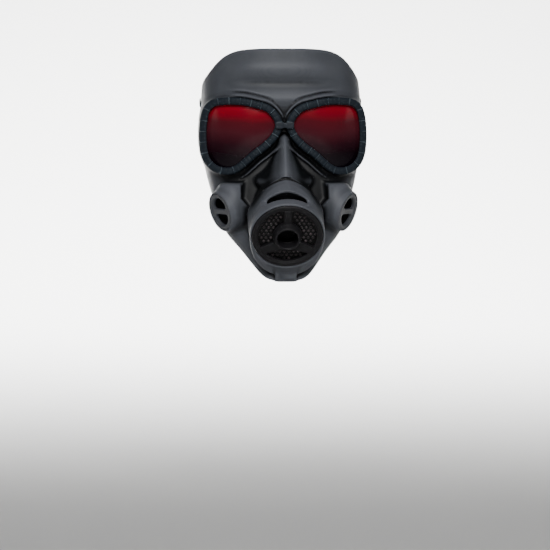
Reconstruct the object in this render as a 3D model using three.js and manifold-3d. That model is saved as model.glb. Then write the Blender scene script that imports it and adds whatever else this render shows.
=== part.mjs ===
// A full-face costume mask in the style of a gas mask, in millimetres.
// X runs to the wearer's left, -Y is the way the mask faces, Z is up.
// The origin is where the inside of the brow rests on the forehead, on the middle plane.
import * as THREE from "three";
import { mergeVertices } from "three/addons/utils/BufferGeometryUtils.js";
import Module from "manifold-3d";

const wasm = await Module();
wasm.setup();

// The moulding as a whole
const maskWidth = 161; // across the temples
const maskRise = 41.5; // from the brow up to the top edge
const maskDrop = 193.5; // from the brow down to the lower edge of the chin
const sideDepth = 77; // from the brow back to the rear edge in front of the ear
const faceReach = 30; // how far the lower face stands forward of the brow
const wall = 3; // thickness of the moulding
const gap = 0.3; // clearance between pieces

// The goggles
const lensWidth = 67.5;
const lensHeight = 62.2;
const lensSpacing = 19.2; // between the inner edges of the two lenses
const lensDrop = 15; // from the brow down to the top of the lens
const lensThickness = 2;
const lensBorder = 2.5; // how far the lens runs under the rim
const lensLedge = 1.5; // how far the moulding reaches behind the lens, inside its visible edge
const lensSeat = 2.4; // thickness of the moulding behind the lens
const goggleReach = 12; // how far the rims stand forward of the brow at the nose
const goggleSweep = 27; // how far their outer ends lie back from there
const goggleCurl = 2.6; // how late the sweep begins: 1 is straight, and more keeps the middle flat
const rimWidth = 7.6;
const rimDepth = 7;
const ribPitch = 11.5;
const ribWidth = 1.8;
const ribHeight = 0.9;
const collarInset = 0.6; // the moulding under the rim is narrower than the rim by this much
const collarDepth = 30; // from the rim's back to the rear end of the moulding's eye frame

// The clip over the nose
const clipWidth = 18.4;
const clipHeight = 7;
const clipThickness = 2.2;
const clipDrop = 35; // from the brow down to its middle
const clipCorner = 2.1;

// The nose ridge
const noseTop = 45; // from the brow down to its upper end
const noseBottom = 96;
const noseReach = 42; // how far its lower end stands forward of the brow
const noseHalf = 34.5; // half its width at the lower end
const noseBlunt = 0.55; // how blunt its crest is: 0 is flat and 1 is round

// The muzzle and the filter in its front
const coverDiameter = 70;
const coverTilt = 30; // degrees that the disc looks down
const coverReach = 60; // how far its middle stands forward of the brow
const coverDrop = 143; // how far its middle lies below the brow
const coverThickness = 4;
const hubHole = 20.5;
const hubDiameter = 28.5;
const hubRise = 6;
const hubFront = 24.8; // diameter of the hub at its front
const hubBevel = 0.8;
const hubMouth = 0.6; // how much wider the hub's hole is at its mouth
const windowOuter = 58; // diameter of the circle round the three windows
const windowEnd = 28; // degrees below level at which the side windows end
const lowerWindowHalf = 20.5; // half the width of the lower window
const lowerWindowTop = 16.2; // from the middle of the disc down to its upper edge
const spokeWidth = 8;
const muzzleLength = 60;
const muzzleHeight = 38.6; // from the disc's middle up to the highest ring
const muzzleHalf = 37.5; // half its width
const chinFall = 50; // from the disc's middle down to the chin
const meshThickness = 2;
const meshPitch = 5;
const bumpRadius = 1.5;
const bumpHeight = 1.3;
const bumpMargin = 1.2; // from the middle of a bump to the edge of its window
const cupDepth = 9;
const cupWall = 1.5;
const chinBarWidth = 21;
const chinBarHeight = 21.2;
const chinBarThickness = 7;
const chinBarTuck = 1; // how far the bar reaches up under the disc
const chinBarBack = 1.2; // from the disc's face back to the bar's face

// The cheek pods
const podAcross = 64; // from the middle plane to the middle of the cap
const podBack = 5; // how far that lies forward of the brow
const podDrop = 121.5;
const podTurn = 61; // degrees that the cap looks outward
const podTilt = 16; // degrees that the cap looks down
const podDiameter = 43;
const podLength = 23;
const podSwell = 1.28; // how much taller the pod is at its rear, above its axis
const capDiameter = 37;
const capThickness = 3;
const capBar = 5.4; // width of the crossbar
const capBorder = 4.6; // width of the ring round the two holes
const capHoleRound = 0.86; // width of the two holes together as a share of their height
const podBore = 32;
const podDepth = 16; // from the cap down to the pod's floor
const podFloor = 1.5; // thickness of the pod's floor and of the sides of its cup
const podRise = 0.6; // how far the pod's lip stands ahead of the cap

// The raised lines on the moulding
const beadRadius = 1.7;
const beadProud = 0.3; // how far the middle of a bead lies out of the skin
const browBeadOut = 2.9; // from the rim up to the bead on the brow
const cheekBeadOut = 6.5; // from the rim down to the bead on the cheek

// The strap and its studs
const headLength = 199; // from the brow to the strap at the back of the head
const strapWidth = 20;
const strapThickness = 1.5;
const strapDrop = 13; // from the brow down to the middle of the strap at the stud
const strapInset = 11; // from the rear edge of the moulding forward to the stud
const strapEnd = 9; // from the stud forward to the end of the strap
const strapRise = 6; // degrees that the strap climbs towards the back
const strapBend = 0.9; // how square the strap's bend is: 1 is an ellipse
const studShank = 4;
const studHead = 10;
const studThickness = 1.5;
const studBevel = 0.6;

const DEGREE = Math.PI / 180;
const up = (share) => (share > 0 ? share * maskRise : share * maskDrop);

// Turns a closed geometry into a solid that can be joined and cut
function solid(geometry) {
  const bare = geometry.index ? geometry.clone() : mergeVertices(geometry);
  bare.deleteAttribute("normal");
  bare.deleteAttribute("uv");
  const merged = mergeVertices(bare, 1e-4);
  return new wasm.Manifold(
    new wasm.Mesh({
      numProp: 3,
      vertProperties: new Float32Array(merged.attributes.position.array),
      triVerts: new Uint32Array(merged.index.array),
    }),
  );
}

// Turns a solid back into a geometry
function geometryOf(body) {
  const mesh = body.getMesh();
  const geometry = new THREE.BufferGeometry();
  geometry.setAttribute("position", new THREE.BufferAttribute(mesh.vertProperties, 3));
  geometry.setIndex(new THREE.BufferAttribute(mesh.triVerts, 1));
  geometry.computeVertexNormals();
  return geometry;
}

// A solid through closed rings of equally many points, with a flat fan at each end unless it closes on itself
function loft(rings, closed = false) {
  const count = rings[0].length;
  const points = rings.flat();
  const faces = [];
  const spans = closed ? rings.length : rings.length - 1;
  for (let i = 0; i < spans; i++) {
    const here = i * count;
    const next = ((i + 1) % rings.length) * count;
    for (let j = 0; j < count; j++) {
      const k = (j + 1) % count;
      faces.push(here + j, here + k, next + k, here + j, next + k, next + j);
    }
  }
  if (!closed) {
    const last = (rings.length - 1) * count;
    for (const [start, turn] of [[0, true], [last, false]]) {
      const middle = new THREE.Vector3();
      for (let j = 0; j < count; j++) middle.add(points[start + j]);
      points.push(middle.divideScalar(count));
      for (let j = 0; j < count; j++) {
        const k = (j + 1) % count;
        const edge = turn ? [start + k, start + j] : [start + j, start + k];
        faces.push(...edge, points.length - 1);
      }
    }
  }
  const geometry = new THREE.BufferGeometry().setFromPoints(points);
  geometry.setIndex(faces);
  let volume = 0;
  for (let i = 0; i < faces.length; i += 3) {
    const [a, b, c] = [points[faces[i]], points[faces[i + 1]], points[faces[i + 2]]];
    volume += a.dot(new THREE.Vector3().crossVectors(b, c));
  }
  if (volume < 0) geometry.index.array.reverse();
  return solid(geometry);
}

// A value between the rows of a table, on a smooth line through them
function between(rows, column, place, at) {
  let i = 0;
  while (i < rows.length - 2 && (rows[i + 1][column] - place) * (rows[0][column] - place) > 0) i++;
  const near = (k) => rows[Math.min(rows.length - 1, Math.max(0, k))];
  const t = (place - rows[i][column]) / (rows[i + 1][column] - rows[i][column]);
  const slope = (k) => {
    const [before, after] = [near(k - 1), near(k + 1)];
    return (after[at] - before[at]) / (after[column] - before[column]);
  };
  const span = rows[i + 1][column] - rows[i][column];
  const [a, b] = [rows[i][at], rows[i + 1][at]];
  const [da, db] = [slope(i) * span, slope(i + 1) * span];
  return (
    a * (2 * t ** 3 - 3 * t ** 2 + 1) + da * (t ** 3 - 2 * t ** 2 + t) +
    b * (-2 * t ** 3 + 3 * t ** 2) + db * (t ** 3 - t ** 2)
  );
}

const power = (value, exponent) => Math.sign(value) * Math.abs(value) ** exponent;

// Level sections of the face. up is a share of the rise or the drop, half of half the mask's width, front of
// the face's reach, side of the side depth where the section is widest, and square is how boxy its corner is.
const FACE_ROWS = [
  { up: 1.4, half: 0.9, front: -0.55, side: 1.0, square: 2.3 },
  { up: 1.0, half: 0.95, front: -0.3, side: 1.0, square: 2.3 },
  { up: 0.62, half: 0.97, front: -0.12, side: 0.98, square: 2.4 },
  { up: 0.36, half: 0.985, front: -0.09, side: 0.95, square: 2.45 },
  { up: 0.18, half: 0.995, front: -0.07, side: 0.92, square: 2.5 },
  { up: 0, half: 1.0, front: 0, side: 0.88, square: 2.7 },
  { up: -0.05, half: 1.005, front: 0.07, side: 0.82, square: 2.9 },
  { up: -0.17, half: 1.012, front: -0.02, side: 0.78, square: 3.2 },
  { up: -0.3, half: 1.0, front: -0.2, side: 0.74, square: 3.0 },
  { up: -0.4, half: 0.965, front: -0.12, side: 0.68, square: 2.7 },
  { up: -0.5, half: 0.91, front: 0.04, side: 0.58, square: 2.5 },
  { up: -0.6, half: 0.84, front: 0.2, side: 0.46, square: 2.4 },
  { up: -0.7, half: 0.765, front: 0.42, side: 0.3, square: 2.3 },
  { up: -0.76, half: 0.68, front: 0.57, side: 0.2, square: 2.25 },
  { up: -0.82, half: 0.545, front: 0.66, side: 0.06, square: 2.2 },
  { up: -0.91, half: 0.385, front: 0.84, side: -0.14, square: 2.2 },
  { up: -0.97, half: 0.29, front: 0.98, side: -0.3, square: 2.3 },
  { up: -1.03, half: 0.24, front: 1.0, side: -0.36, square: 2.4 },
];
const rearClose = sideDepth * 1.25; // where the solids of the face close, behind the mask's rear edge
const faceSteps = 8;
const faceLevels = 18;

function faceSection(level) {
  const row = { up: level > 0 ? level / maskRise : level / maskDrop };
  for (const at of ["half", "front", "side", "square"]) row[at] = between(FACE_ROWS, "up", row.up, at);
  return {
    half: (row.half * maskWidth) / 2,
    front: wall + row.front * faceReach,
    side: row.side * sideDepth,
    square: row.square,
  };
}

// How far forward of the brow the skin lies at a place across and up
function skinFront(across, level) {
  const section = faceSection(level);
  const share = Math.min(1, Math.abs(across) / section.half);
  const depth = section.front + section.side;
  return -section.side + depth * (1 - share ** section.square) ** (1 / section.square);
}

// Half the width of the moulding's outside at a place up and back
function skinHalf(back, level) {
  const section = faceSection(level);
  if (back >= section.side) return section.half;
  const share = Math.min(1, (section.side - back) / (section.front + section.side));
  return section.half * (1 - share ** section.square) ** (1 / section.square);
}

function faceRing(level, inset) {
  const section = faceSection(level);
  const half = section.half - inset;
  const front = section.front - inset;
  const quarter = [];
  for (let i = 0; i <= faceSteps; i++) {
    const angle = (i / faceSteps) * 90 * DEGREE;
    const across = half * power(Math.sin(angle), 2 / section.square);
    const forward = (front + section.side) * power(Math.cos(angle), 2 / section.square) - section.side;
    quarter.push([across, -forward]);
  }
  quarter.push([half, rearClose + inset]);
  const other = quarter.slice(1).reverse().map(([x, y]) => [-x, y]);
  return [...quarter, ...other].map(([x, y]) => new THREE.Vector3(x, y, level));
}

function faceSolid(inset) {
  const [top, bottom] = [up(FACE_ROWS[0].up), up(FACE_ROWS.at(-1).up)];
  const rings = [];
  for (let i = 0; i <= faceLevels; i++) {
    const level = top + inset + ((bottom - top - 2 * inset) * i) / faceLevels;
    rings.push(faceRing(Math.min(top, Math.max(bottom, level)), inset).map((p) => p.setZ(level)));
  }
  return loft(rings);
}

// The mask's outline from the side. back is a share of the side depth and up of the rise or the drop.
const SIDE_EDGE = [
  { back: 0.12, up: 1.0 },
  { back: 0.21, up: 0.95 },
  { back: 0.29, up: 0.85 },
  { back: 0.37, up: 0.7 },
  { back: 0.46, up: 0.53 },
  { back: 0.58, up: 0.36 },
  { back: 0.74, up: 0.21 },
  { back: 0.91, up: 0.08 },
  { back: 0.99, up: -0.02 },
  { back: 1.0, up: -0.1 },
  { back: 1.0, up: -0.26 },
  { back: 0.94, up: -0.4 },
  { back: 0.76, up: -0.53 },
  { back: 0.46, up: -0.68 },
  { back: 0.14, up: -0.8 },
  { back: -0.16, up: -0.9 },
  { back: -0.38, up: -0.97 },
  { back: -0.47, up: -1.0 },
];
function sideOutline() {
  const edge = new THREE.SplineCurve(
    SIDE_EDGE.map((row) => new THREE.Vector2(row.back * sideDepth, up(row.up))),
  ).getPoints(24);
  const ahead = -(coverReach + coverDiameter + podBack);
  const shape = new THREE.Shape([
    new THREE.Vector2(ahead, edge[0].y),
    ...edge,
    new THREE.Vector2(ahead, edge.at(-1).y),
  ]);
  const prism = new THREE.ExtrudeGeometry(shape, { depth: 2 * maskWidth, bevelEnabled: false });
  const across = new THREE.Vector3(1, 0, 0);
  const turn = new THREE.Matrix4().makeBasis(new THREE.Vector3(0, 1, 0), new THREE.Vector3(0, 0, 1), across);
  return solid(prism.applyMatrix4(turn).translate(-maskWidth, 0, 0));
}

// The visible edge of a lens, as shares of its width and height. across runs outwards from the nose, and up
// from the lowest point.
const LENS_EDGE = [
  { across: 0, up: 0.71 },
  { across: 0.117, up: 0.883 },
  { across: 0.305, up: 0.953 },
  { across: 0.495, up: 0.995 },
  { across: 0.72, up: 1.0 },
  { across: 0.892, up: 0.965 },
  { across: 0.972, up: 0.823 },
  { across: 1.0, up: 0.5 },
  { across: 0.969, up: 0.204 },
  { across: 0.873, up: 0.055 },
  { across: 0.732, up: 0.0 },
  { across: 0.576, up: 0.042 },
  { across: 0.344, up: 0.257 },
  { across: 0.182, up: 0.391 },
  { across: 0.05, up: 0.543 },
];
const lensCurve = new THREE.CatmullRomCurve3(
  LENS_EDGE.map(
    (row) =>
      new THREE.Vector3(
        lensSpacing / 2 + row.across * lensWidth,
        -lensDrop - (1 - row.up) * lensHeight,
        0,
      ),
  ),
  true,
);

// A point at a share of the way round the lens, moved out from it by a distance
function besideLens(share, out) {
  const point = lensCurve.getPointAt(share % 1);
  const along = lensCurve.getTangentAt(share % 1);
  return new THREE.Vector2(point.x - along.y * out, point.y + along.x * out);
}

// How far forward the front of the goggles lies at a place across
const goggleSpan = lensSpacing / 2 + lensWidth + rimWidth;
const goggleFront = (across) =>
  goggleReach - goggleSweep * (Math.abs(across) / goggleSpan) ** goggleCurl;

// A straight post from front to back with the lens's outline, moved out by a distance
function lensPost(out, sides = 26) {
  const points = [];
  for (let i = 0; i < sides; i++) points.push(besideLens(i / sides, out));
  const length = 4 * rearClose;
  const post = new THREE.ExtrudeGeometry(new THREE.Shape(points), { depth: length, bevelEnabled: false });
  return solid(post.rotateX(90 * DEGREE).translate(0, length / 2, 0));
}

// A sheet that follows the sweep of the goggles, from one distance behind their front to another
function sweepSheet(from, to) {
  const columns = 7;
  const near = [];
  const far = [];
  for (let i = 0; i <= columns; i++) {
    const across = (i / columns) * (goggleSpan + rimWidth);
    near.push(new THREE.Vector2(across, from - goggleFront(across)));
    far.unshift(new THREE.Vector2(across, to - goggleFront(across)));
  }
  const height = 3 * lensHeight;
  const sheet = new THREE.ExtrudeGeometry(new THREE.Shape([...near, ...far]), {
    depth: height,
    bevelEnabled: false,
  });
  return solid(sheet.translate(0, 0, -lensDrop - lensHeight / 2 - height / 2));
}

const mirrored = (body) => body.mirror([1, 0, 0]);

const seatBehind = rimDepth + gap;
const rabbetBehind = seatBehind + lensThickness + gap;
const floorBehind = rabbetBehind + lensSeat;

// The ribbed rim: its section goes round the lens, higher at each rib
const RIM_SECTION = [
  { out: 0, ahead: 0 },
  { out: 0, ahead: 0.5 },
  { out: 0.3, ahead: 0.95 },
  { out: 0.72, ahead: 1 },
  { out: 1, ahead: 0.6 },
  { out: 0.97, ahead: 0 },
];
function goggleRim() {
  const round = lensCurve.getLength();
  const ribs = Math.round((round + Math.PI * rimWidth) / ribPitch);
  const edge = ribWidth / 2 / round;
  const stations = [
    { shift: -edge, rise: -ribHeight },
    { shift: 0, rise: 0 },
    { shift: edge, rise: -ribHeight },
    { shift: 1 / 2 / ribs, rise: -ribHeight / 2 },
  ];
  const rings = [];
  for (let i = 0; i < ribs; i++) {
    for (const { shift, rise } of stations) {
      const share = (i / ribs + shift + 1) % 1;
      const ring = RIM_SECTION.map(({ out, ahead }) => {
        const point = besideLens(share, out * rimWidth);
        const height = ahead * rimDepth + (ahead > 0.5 ? rise : 0);
        return new THREE.Vector3(point.x, rimDepth - height - goggleFront(point.x), point.y);
      });
      rings.push(ring);
    }
  }
  return loft(rings, true);
}

function lens() {
  return lensPost(lensBorder).intersect(sweepSheet(seatBehind, seatBehind + lensThickness));
}

function bridgeClip() {
  const [w, h] = [clipWidth / 2, clipHeight / 2];
  const shape = new THREE.Shape();
  shape.moveTo(-w + clipCorner, -h);
  shape.lineTo(w - clipCorner, -h);
  shape.absarc(w - clipCorner, -h + clipCorner, clipCorner, -90 * DEGREE, 0);
  shape.absarc(w - clipCorner, h - clipCorner, clipCorner, 0, 90 * DEGREE);
  shape.absarc(-w + clipCorner, h - clipCorner, clipCorner, 90 * DEGREE, 180 * DEGREE);
  shape.absarc(-w + clipCorner, -h + clipCorner, clipCorner, 180 * DEGREE, 270 * DEGREE);
  const plate = new THREE.ExtrudeGeometry(shape, {
    depth: clipThickness,
    bevelEnabled: false,
    curveSegments: 4,
  });
  return solid(plate.rotateX(90 * DEGREE).translate(0, -goggleReach - gap, -clipDrop));
}

// Level sections of the nose ridge. down is a share of the way from its upper to its lower end, reach of how
// far it stands forward, half of half its width.
const NOSE_ROWS = [
  { down: 0, reach: 0.2, half: 0.13 },
  { down: 0.2, reach: 0.42, half: 0.26 },
  { down: 0.4, reach: 0.61, half: 0.35 },
  { down: 0.6, reach: 0.76, half: 0.45 },
  { down: 0.8, reach: 0.89, half: 0.66 },
  { down: 1, reach: 1, half: 1 },
];
const noseLevels = 6;
const noseSteps = 4;
function noseSolid(inset) {
  const root = -faceReach;
  const noseAt = (drop, at) => between(NOSE_ROWS, "down", (drop - noseTop) / (noseBottom - noseTop), at);
  const rings = [];
  for (let i = 0; i <= noseLevels; i++) {
    const drop = noseTop + inset + ((noseBottom - noseTop - 2 * inset) * i) / noseLevels;
    const reach = noseAt(drop, "reach") * noseReach - inset;
    const half = Math.max(noseAt(drop - inset, "half") * noseHalf - inset, gap);
    const ring = [];
    for (let j = -noseSteps; j <= noseSteps; j++) {
      const side = j / noseSteps;
      const forward = root + (reach - root) * Math.cos(side * 90 * DEGREE) ** noseBlunt;
      ring.push(new THREE.Vector3(side * half, -forward, 0));
    }
    ring.push(new THREE.Vector3(0, wall - root, 0));
    rings.push(ring.map((point) => point.setZ(-drop)));
  }
  return loft(rings);
}

// Rings of the muzzle, square to the disc's axis. back is a share of its length behind the disc, rise of its
// height, fall of the chin's fall and half of its half width. round is 2 for a round upper half, and less for
// a pointed arch.
const MUZZLE_ROWS = [
  { back: 0, rise: 0.945, fall: 0.72, half: 0.965, round: 2 },
  { back: 0.03, rise: 0.96, fall: 0.74, half: 0.985, round: 2 },
  { back: 0.07, rise: 0.94, fall: 0.95, half: 0.985, round: 2 },
  { back: 0.15, rise: 0.905, fall: 1.0, half: 0.98, round: 2 },
  { back: 0.22, rise: 0.76, fall: 1.0, half: 0.97, round: 2 },
  { back: 0.3, rise: 0.74, fall: 1.0, half: 0.975, round: 2.1 },
  { back: 0.38, rise: 0.75, fall: 1.0, half: 0.975, round: 2.1 },
  { back: 0.42, rise: 0.95, fall: 1.0, half: 1.0, round: 1.65 },
  { back: 0.47, rise: 0.975, fall: 1.0, half: 1.0, round: 1.6 },
  { back: 0.6, rise: 0.99, fall: 1.0, half: 1.0, round: 1.58 },
  { back: 0.715, rise: 1.0, fall: 0.99, half: 1.0, round: 1.58 },
  { back: 0.735, rise: 0.94, fall: 0.99, half: 0.96, round: 1.6 },
  { back: 0.83, rise: 0.94, fall: 0.98, half: 0.91, round: 1.6 },
  { back: 1.03, rise: 0.83, fall: 0.92, half: 0.8, round: 1.7 },
  { back: 1.25, rise: 0.73, fall: 0.8, half: 0.72, round: 1.8 },
];
const muzzleSides = 18;
const coverRadius = coverDiameter / 2;
const meshBack = coverThickness + gap;
const ledgeBack = meshBack + meshThickness + gap;

function muzzleRing(row, inset) {
  const ring = [];
  for (let j = 0; j < muzzleSides; j++) {
    const angle = (j / muzzleSides) * 360 * DEGREE;
    const above = Math.cos(angle) > 0;
    const tall = (above ? row.rise * muzzleHeight : row.fall * chinFall) - inset;
    const bend = above ? 2 / row.round : 1;
    const across = (row.half * muzzleHalf - inset) * power(Math.sin(angle), bend);
    ring.push(new THREE.Vector3(across, tall * power(Math.cos(angle), bend), -row.back * muzzleLength));
  }
  return ring;
}

// Places a solid that was made round the disc's middle, with the disc's axis along +Z
const coverPlace = new THREE.Matrix4()
  .makeRotationX((90 + coverTilt) * DEGREE)
  .setPosition(0, -coverReach, -coverDrop);
const placed = (body, matrix) => body.transform(matrix.elements);

// A round post along +Z
function post(radius, from, to, sides = 28) {
  const cylinder = new THREE.CylinderGeometry(radius, radius, to - from, sides);
  return solid(cylinder.rotateX(90 * DEGREE).translate(0, 0, (from + to) / 2));
}

// A ring or cap turned about +Z through points of radius and height
function turned(points, sides = 24) {
  const profile = points.map(([radius, height]) => new THREE.Vector2(radius, height));
  const lathe = new THREE.LatheGeometry(profile, sides).rotateX(90 * DEGREE);
  const body = solid(lathe);
  return body.volume() < 0 ? solid(flipped(lathe)) : body;
}

function flipped(geometry) {
  const other = geometry.clone();
  other.index.array.reverse();
  return other;
}

function muzzleOuter() {
  return loft(MUZZLE_ROWS.map((row) => muzzleRing(row, 0)));
}

// Its hollow begins a little ahead of the ledge behind the mesh plate and runs on past its rear end. A ring of
// it is as small as the muzzle is a wall's thickness ahead or behind, so the wall stays thick at steep steps.
function muzzleInner() {
  const start = (ledgeBack - gap) / muzzleLength;
  const reach = wall / muzzleLength;
  const least = (back, key) =>
    Math.min(...[back - reach, back, back + reach].map((at) => between(MUZZLE_ROWS, "back", at, key)));
  const behind = MUZZLE_ROWS.filter((row) => row.back > ledgeBack / muzzleLength).map((row) => ({
    ...row,
    rise: least(row.back, "rise"),
    fall: least(row.back, "fall"),
    half: least(row.back, "half"),
  }));
  const first = { ...behind[0], back: start };
  const last = { ...behind.at(-1), back: behind.at(-1).back + start };
  return loft([first, ...behind, last].map((row) => muzzleRing(row, wall)));
}

// The chin bar, a block moulded under the disc
function chinBar() {
  const middle = -coverRadius - chinBarHeight / 2 + chinBarTuck;
  const block = new THREE.BoxGeometry(chinBarWidth, chinBarHeight, chinBarThickness);
  return solid(block.translate(0, middle, -chinBarThickness / 2 - chinBarBack));
}

// Places a solid that was made round the middle of a pod's cap, with the cap looking along +Z
function podPlace(side) {
  const level = Math.cos(podTilt * DEGREE);
  const looks = new THREE.Vector3(
    side * Math.sin(podTurn * DEGREE) * level,
    -Math.cos(podTurn * DEGREE) * level,
    -Math.sin(podTilt * DEGREE),
  );
  const upward = new THREE.Vector3(0, 0, 1).addScaledVector(looks, -looks.z).normalize();
  const sideways = new THREE.Vector3().crossVectors(upward, looks);
  return new THREE.Matrix4()
    .makeBasis(sideways, upward, looks)
    .setPosition(side * podAcross, -podBack, -podDrop);
}

// Rings of the outside of the pod, which swells upwards behind its cap. back is a share of its length,
// radius of half its diameter and swell of the most that it swells.
const POD_ROWS = [
  { back: 1, radius: 0.9, swell: 1 },
  { back: 0.9, radius: 1.03, swell: 1 },
  { back: 0.55, radius: 1.03, swell: 0.9 },
  { back: 0.1, radius: 0.98, swell: 0.05 },
  { back: 0, radius: 0.94, swell: 0 },
];
const podSides = 16;
const lipRadius = capDiameter / 2 + gap + podRise;
function podOuter() {
  const ringOf = (radius, height, swell) =>
    Array.from({ length: podSides }, (_, i) => {
      const angle = (i / podSides) * 360 * DEGREE;
      const tall = Math.sin(angle) > 0 ? 1 + (podSwell - 1) * swell : 1;
      return new THREE.Vector3(radius * Math.cos(angle), tall * radius * Math.sin(angle), height);
    });
  const rings = POD_ROWS.map((row) =>
    ringOf((row.radius * podDiameter) / 2, -row.back * podLength, row.swell),
  );
  return loft([...rings, ringOf(lipRadius, podRise, 0)]);
}

const capSides = 24;
function podInner() {
  const seat = -capThickness - gap;
  const bore = post(podBore / 2, -podDepth, 0, capSides);
  return bore.add(post(capDiameter / 2 + gap, seat, podLength, capSides));
}

// A hole as a path through its corners, and the corners of an arc
function windowPath(points) {
  const path = new THREE.Path();
  points.forEach(([x, y], i) => (i === 0 ? path.moveTo(x, y) : path.lineTo(x, y)));
  path.closePath();
  return path;
}
const arc = (radius, from, to, steps) =>
  Array.from({ length: steps + 1 }, (_, i) => {
    const angle = (from + ((to - from) * i) / steps) * DEGREE;
    return [radius * Math.cos(angle), radius * Math.sin(angle)];
  });

function podCap() {
  const radius = capDiameter / 2;
  const shape = new THREE.Shape().absarc(0, 0, radius, 0, 360 * DEGREE);
  const open = radius - capBorder;
  const start = Math.asin(capBar / 2 / open) / DEGREE;
  const hole = arc(open, start, 180 - start, 10).map(([x, y]) => [x * capHoleRound, y]);
  shape.holes.push(windowPath(hole), windowPath(hole.map(([x, y]) => [x, -y])));
  const plate = new THREE.ExtrudeGeometry(shape, {
    depth: capThickness,
    bevelEnabled: false,
    curveSegments: capSides / 2,
  });
  return solid(plate.translate(0, 0, -capThickness));
}

// Raised beads on the skin beside a rim. from and to are shares of the way round the lens, and out is the
// distance from the rim. A bead sinks into the skin at its ends.
const BEADS = [
  { from: 0.015, to: 0.3, out: browBeadOut },
  { from: 0.66, to: 0.86, out: cheekBeadOut },
];
const beadSpans = 8;
const beadFade = 0.3; // how late it sinks: 1 is a gentle arch, and less keeps its middle level
function bead({ from, to, out }) {
  const points = [];
  for (let i = 0; i <= beadSpans; i++) {
    const share = from + ((to - from) * i) / beadSpans;
    const place = besideLens(share, rimWidth + out);
    const fade = Math.sin((i / beadSpans) * 180 * DEGREE) ** beadFade;
    const proud = fade * (beadProud + beadRadius) - beadRadius;
    points.push(new THREE.Vector3(place.x, -skinFront(place.x, place.y) - proud, place.y));
  }
  const path = new THREE.CatmullRomCurve3(points);
  const shape = new THREE.Shape().absarc(0, 0, beadRadius, 0, 360 * DEGREE);
  const form = new THREE.ExtrudeGeometry(shape, {
    extrudePath: path,
    steps: beadSpans,
    curveSegments: 3,
    bevelEnabled: false,
  });
  return solid(form);
}

// The strap, its studs and the holes they share
const studAt = sideDepth - strapInset;
const studSides = 12;
const strapSpans = 13;

// Half the width of the moulding's outside at each of several places behind the brow, at each edge of a band
function skinHalves(backs, width) {
  const levels = [-strapDrop - width / 2, -strapDrop + width / 2];
  return backs.flatMap((back) => levels.map((level) => skinHalf(back, level)));
}
const tightest = Math.min(...skinHalves([studAt - strapEnd, studAt, sideDepth], strapWidth));
const strapHalf = tightest - wall - 2 * gap;

function headStrap() {
  const straight = sideDepth + strapInset;
  const outline = (inset) => {
    const half = [];
    half.push(new THREE.Vector2(strapHalf - inset, studAt - strapEnd));
    for (let i = 0; i <= strapSpans; i++) {
      const angle = (i / strapSpans) * 90 * DEGREE;
      const across = (strapHalf - inset) * power(Math.cos(angle), strapBend);
      const back = straight + (headLength - inset - straight) * power(Math.sin(angle), strapBend);
      half.push(new THREE.Vector2(across, back));
    }
    const other = half.slice(0, -1).reverse().map((p) => new THREE.Vector2(-p.x, p.y));
    return [...half, ...other];
  };
  const shape = new THREE.Shape([...outline(0), ...outline(strapThickness).reverse()]);
  const band = new THREE.ExtrudeGeometry(shape, { depth: strapWidth, bevelEnabled: false });
  band.translate(0, 0, -strapDrop - strapWidth / 2);
  const place = band.attributes.position;
  for (let i = 0; i < place.count; i++) {
    const climb = Math.max(0, place.getY(i) - sideDepth) * Math.tan(strapRise * DEGREE);
    place.setZ(i, place.getZ(i) + climb);
  }
  return solid(band).subtract(studHoles());
}

function studHoles() {
  const radius = studShank / 2 + gap;
  const hole = new THREE.CylinderGeometry(radius, radius, 2 * maskWidth, studSides);
  return solid(hole.rotateZ(90 * DEGREE).translate(0, studAt, -strapDrop));
}

function strapStud() {
  const widest = Math.max(...skinHalves([studAt - studHead / 2, studAt, studAt + studHead / 2], studHead));
  const outside = widest + gap;
  const inside = strapHalf - strapThickness - gap;
  const stud = turned(
    [
      [0, inside - studThickness],
      [studHead / 2, inside - studThickness],
      [studHead / 2, inside],
      [studShank / 2, inside],
      [studShank / 2, outside],
      [studHead / 2, outside],
      [studHead / 2 - studBevel, outside + studThickness],
      [0, outside + studThickness],
    ],
    studSides,
  );
  const turn = new THREE.Matrix4().makeRotationY(90 * DEGREE).setPosition(0, studAt, -strapDrop);
  return placed(stud, turn);
}

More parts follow.
